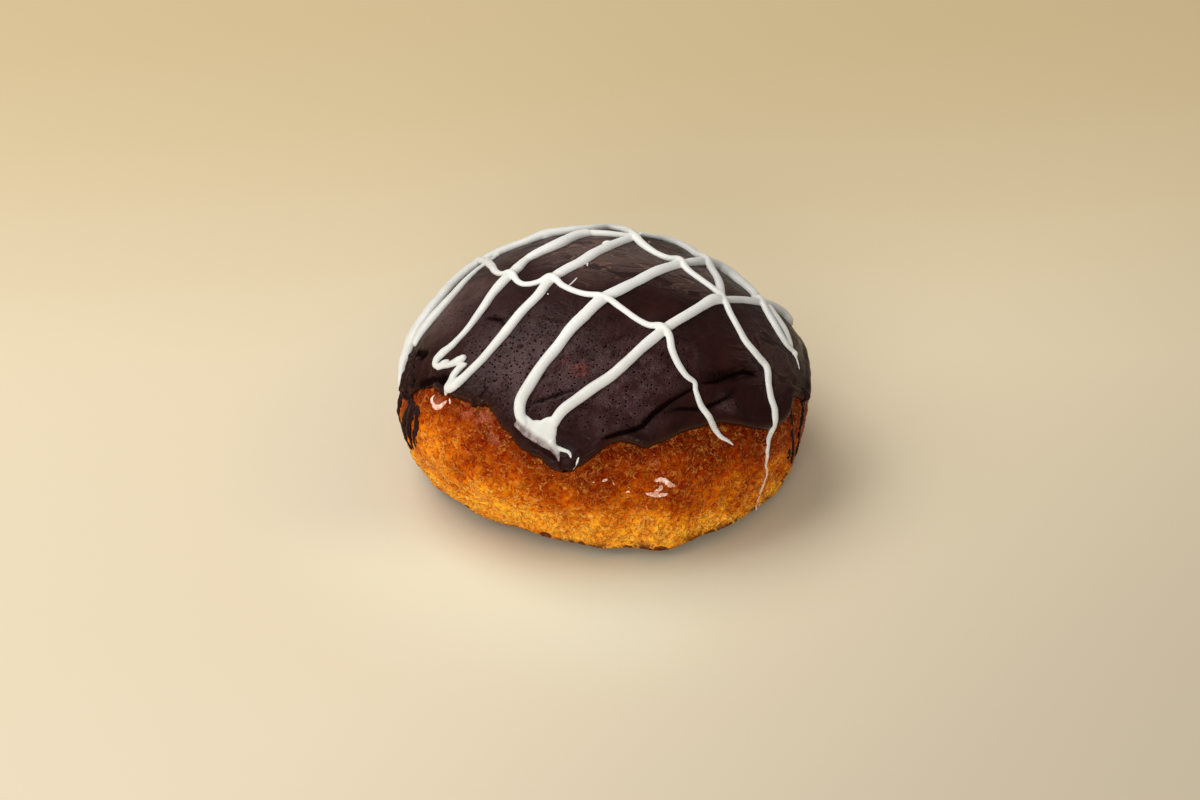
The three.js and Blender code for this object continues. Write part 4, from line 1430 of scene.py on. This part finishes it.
# %% Colour the drizzle
def white_material():
    paint, tree, shader, place = new_material("white_icing")
    clouded = span(tree, cloud(tree, place, 0.25, 3), 0.35, 0.65)
    tone = mix(tree, clouded, screen(197, 196, 190), screen(205, 204, 198))
    thin = span(tree, stored(tree, "sheer"), 0.25, 0.95)
    thin = times(tree, thin, span(tree, cloud(tree, place, 0.9, 3, 0.6), 0.35, 0.6, 0.7, 1))
    tone = mix(tree, thin, tone, screen(108, 90, 88))
    height = add(tree, "SeparateXYZ", Vector=place).outputs["Z"]
    # A painted highlight: paler on the crown, where the light from above falls.
    tone = mix(tree, span(tree, height, 0.043, 0.049, 0, 0.8), tone, screen(226, 225, 219))
    tone = mix(tree, span(tree, height, 0.008, 0.026, 0.75, 0), tone, screen(206, 150, 116))
    wire(tree, shader.inputs["Base Color"], tone)
    shader.inputs["Roughness"].default_value = 0.4
    shader.inputs["Specular IOR Level"].default_value = 0.3
    shader.inputs["Subsurface Weight"].default_value = 0.15
    shader.inputs["Subsurface Radius"].default_value = (1.0, 0.9, 0.7)
    shader.inputs["Subsurface Scale"].default_value = 0.8 * MM
    grain = add(tree, "Bump", Strength=0.25, Distance=0.06 * MM, Height=cloud(tree, place, 0.7, 3))
    wire(tree, shader.inputs["Normal"], grain.outputs["Normal"])
    return paint


drizzle = finish_object("white_drizzle", drizzle_mesh, white_material())
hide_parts("icing")

# %% [markdown]
# ## Flecks of glaze
#
# Splashes of thin glaze have dried on the crust below the icing: a crescent at the left, a torn patch
# and some specks at the front. They are nearly flat strands, paler and pinker than the drizzle,
# because the brown crust shows through them.

# %% Lay the flecks
FLECKS = [
    [
        (-63, -39, 0.5), (-65, -41, 0.9), (-65, -43.5, 1.2), (-62.5, -45, 1.3), (-60, -44.5, 1.0),
        (-57.5, -43.8, 0.4),
    ],
    [(-56, -43, 0.4), (-57, -45.5, 0.6)],
    [(26, -92.5, 0.6), (29, -91.5, 1.3), (32, -92, 1.4), (35, -93.5, 1.3), (38, -94.5, 0.6)],
    [(30, -94, 1.2), (30, -97, 0.9), (29, -100, 0.9), (31, -103, 1.0)],
    [(24, -103.5, 0.5), (27, -103.5, 1.1), (31, -104.5, 1.3), (35, -104, 1.0), (37, -103, 0.5)],
    [(-3.5, -94, 0.4), (-2.5, -94, 0.4)],
    [(1, -93.5, 0.6), (3.5, -92.8, 0.8)],
    [(6, -94.5, 0.25), (7, -95.5, 0.25)],
    [(13.5, -97, 0.35), (14.5, -97.5, 0.35)],
    [(13, -101.5, 0.3), (14.5, -100.5, 0.4), (15.5, -102.5, 0.3)],
]
FLECK_FLATNESS = 0.3
FLECK_RAISED = 0.03

fleck_shape = bmesh.new()
for route in FLECKS:
    fleck_line = smooth_line([place[:2] for place in route], STRAND_STEP)
    fleck_width = half_widths(route, fleck_line) * taper(len(fleck_line), 3)
    fleck_bed = crust_relief(skin(*fleck_line.T), *fleck_line.T) + FLECK_RAISED
    add_strand(fleck_shape, fleck_line, fleck_width, FLECK_FLATNESS * fleck_width, fleck_bed)
fleck_mesh = bpy.data.meshes.new("flecks")
fleck_shape.to_mesh(fleck_mesh)
fleck_shape.free()
print("the flecks have", len(fleck_mesh.polygons), "faces")


# %% Colour the flecks
def fleck_material():
    paint, tree, shader, place = new_material("dried_glaze")
    thin = span(tree, cloud(tree, place, 0.8, 3, 0.6), 0.35, 0.62)
    wire(tree, shader.inputs["Base Color"], mix(tree, thin, screen(236, 208, 196), screen(196, 128, 100)))
    shader.inputs["Roughness"].default_value = 0.3
    grain = add(tree, "Bump", Strength=0.4, Distance=0.1 * MM, Height=cloud(tree, place, 1.1, 3))
    wire(tree, shader.inputs["Normal"], grain.outputs["Normal"])
    return paint


flecks = finish_object("glaze_flecks", fleck_mesh, fleck_material())
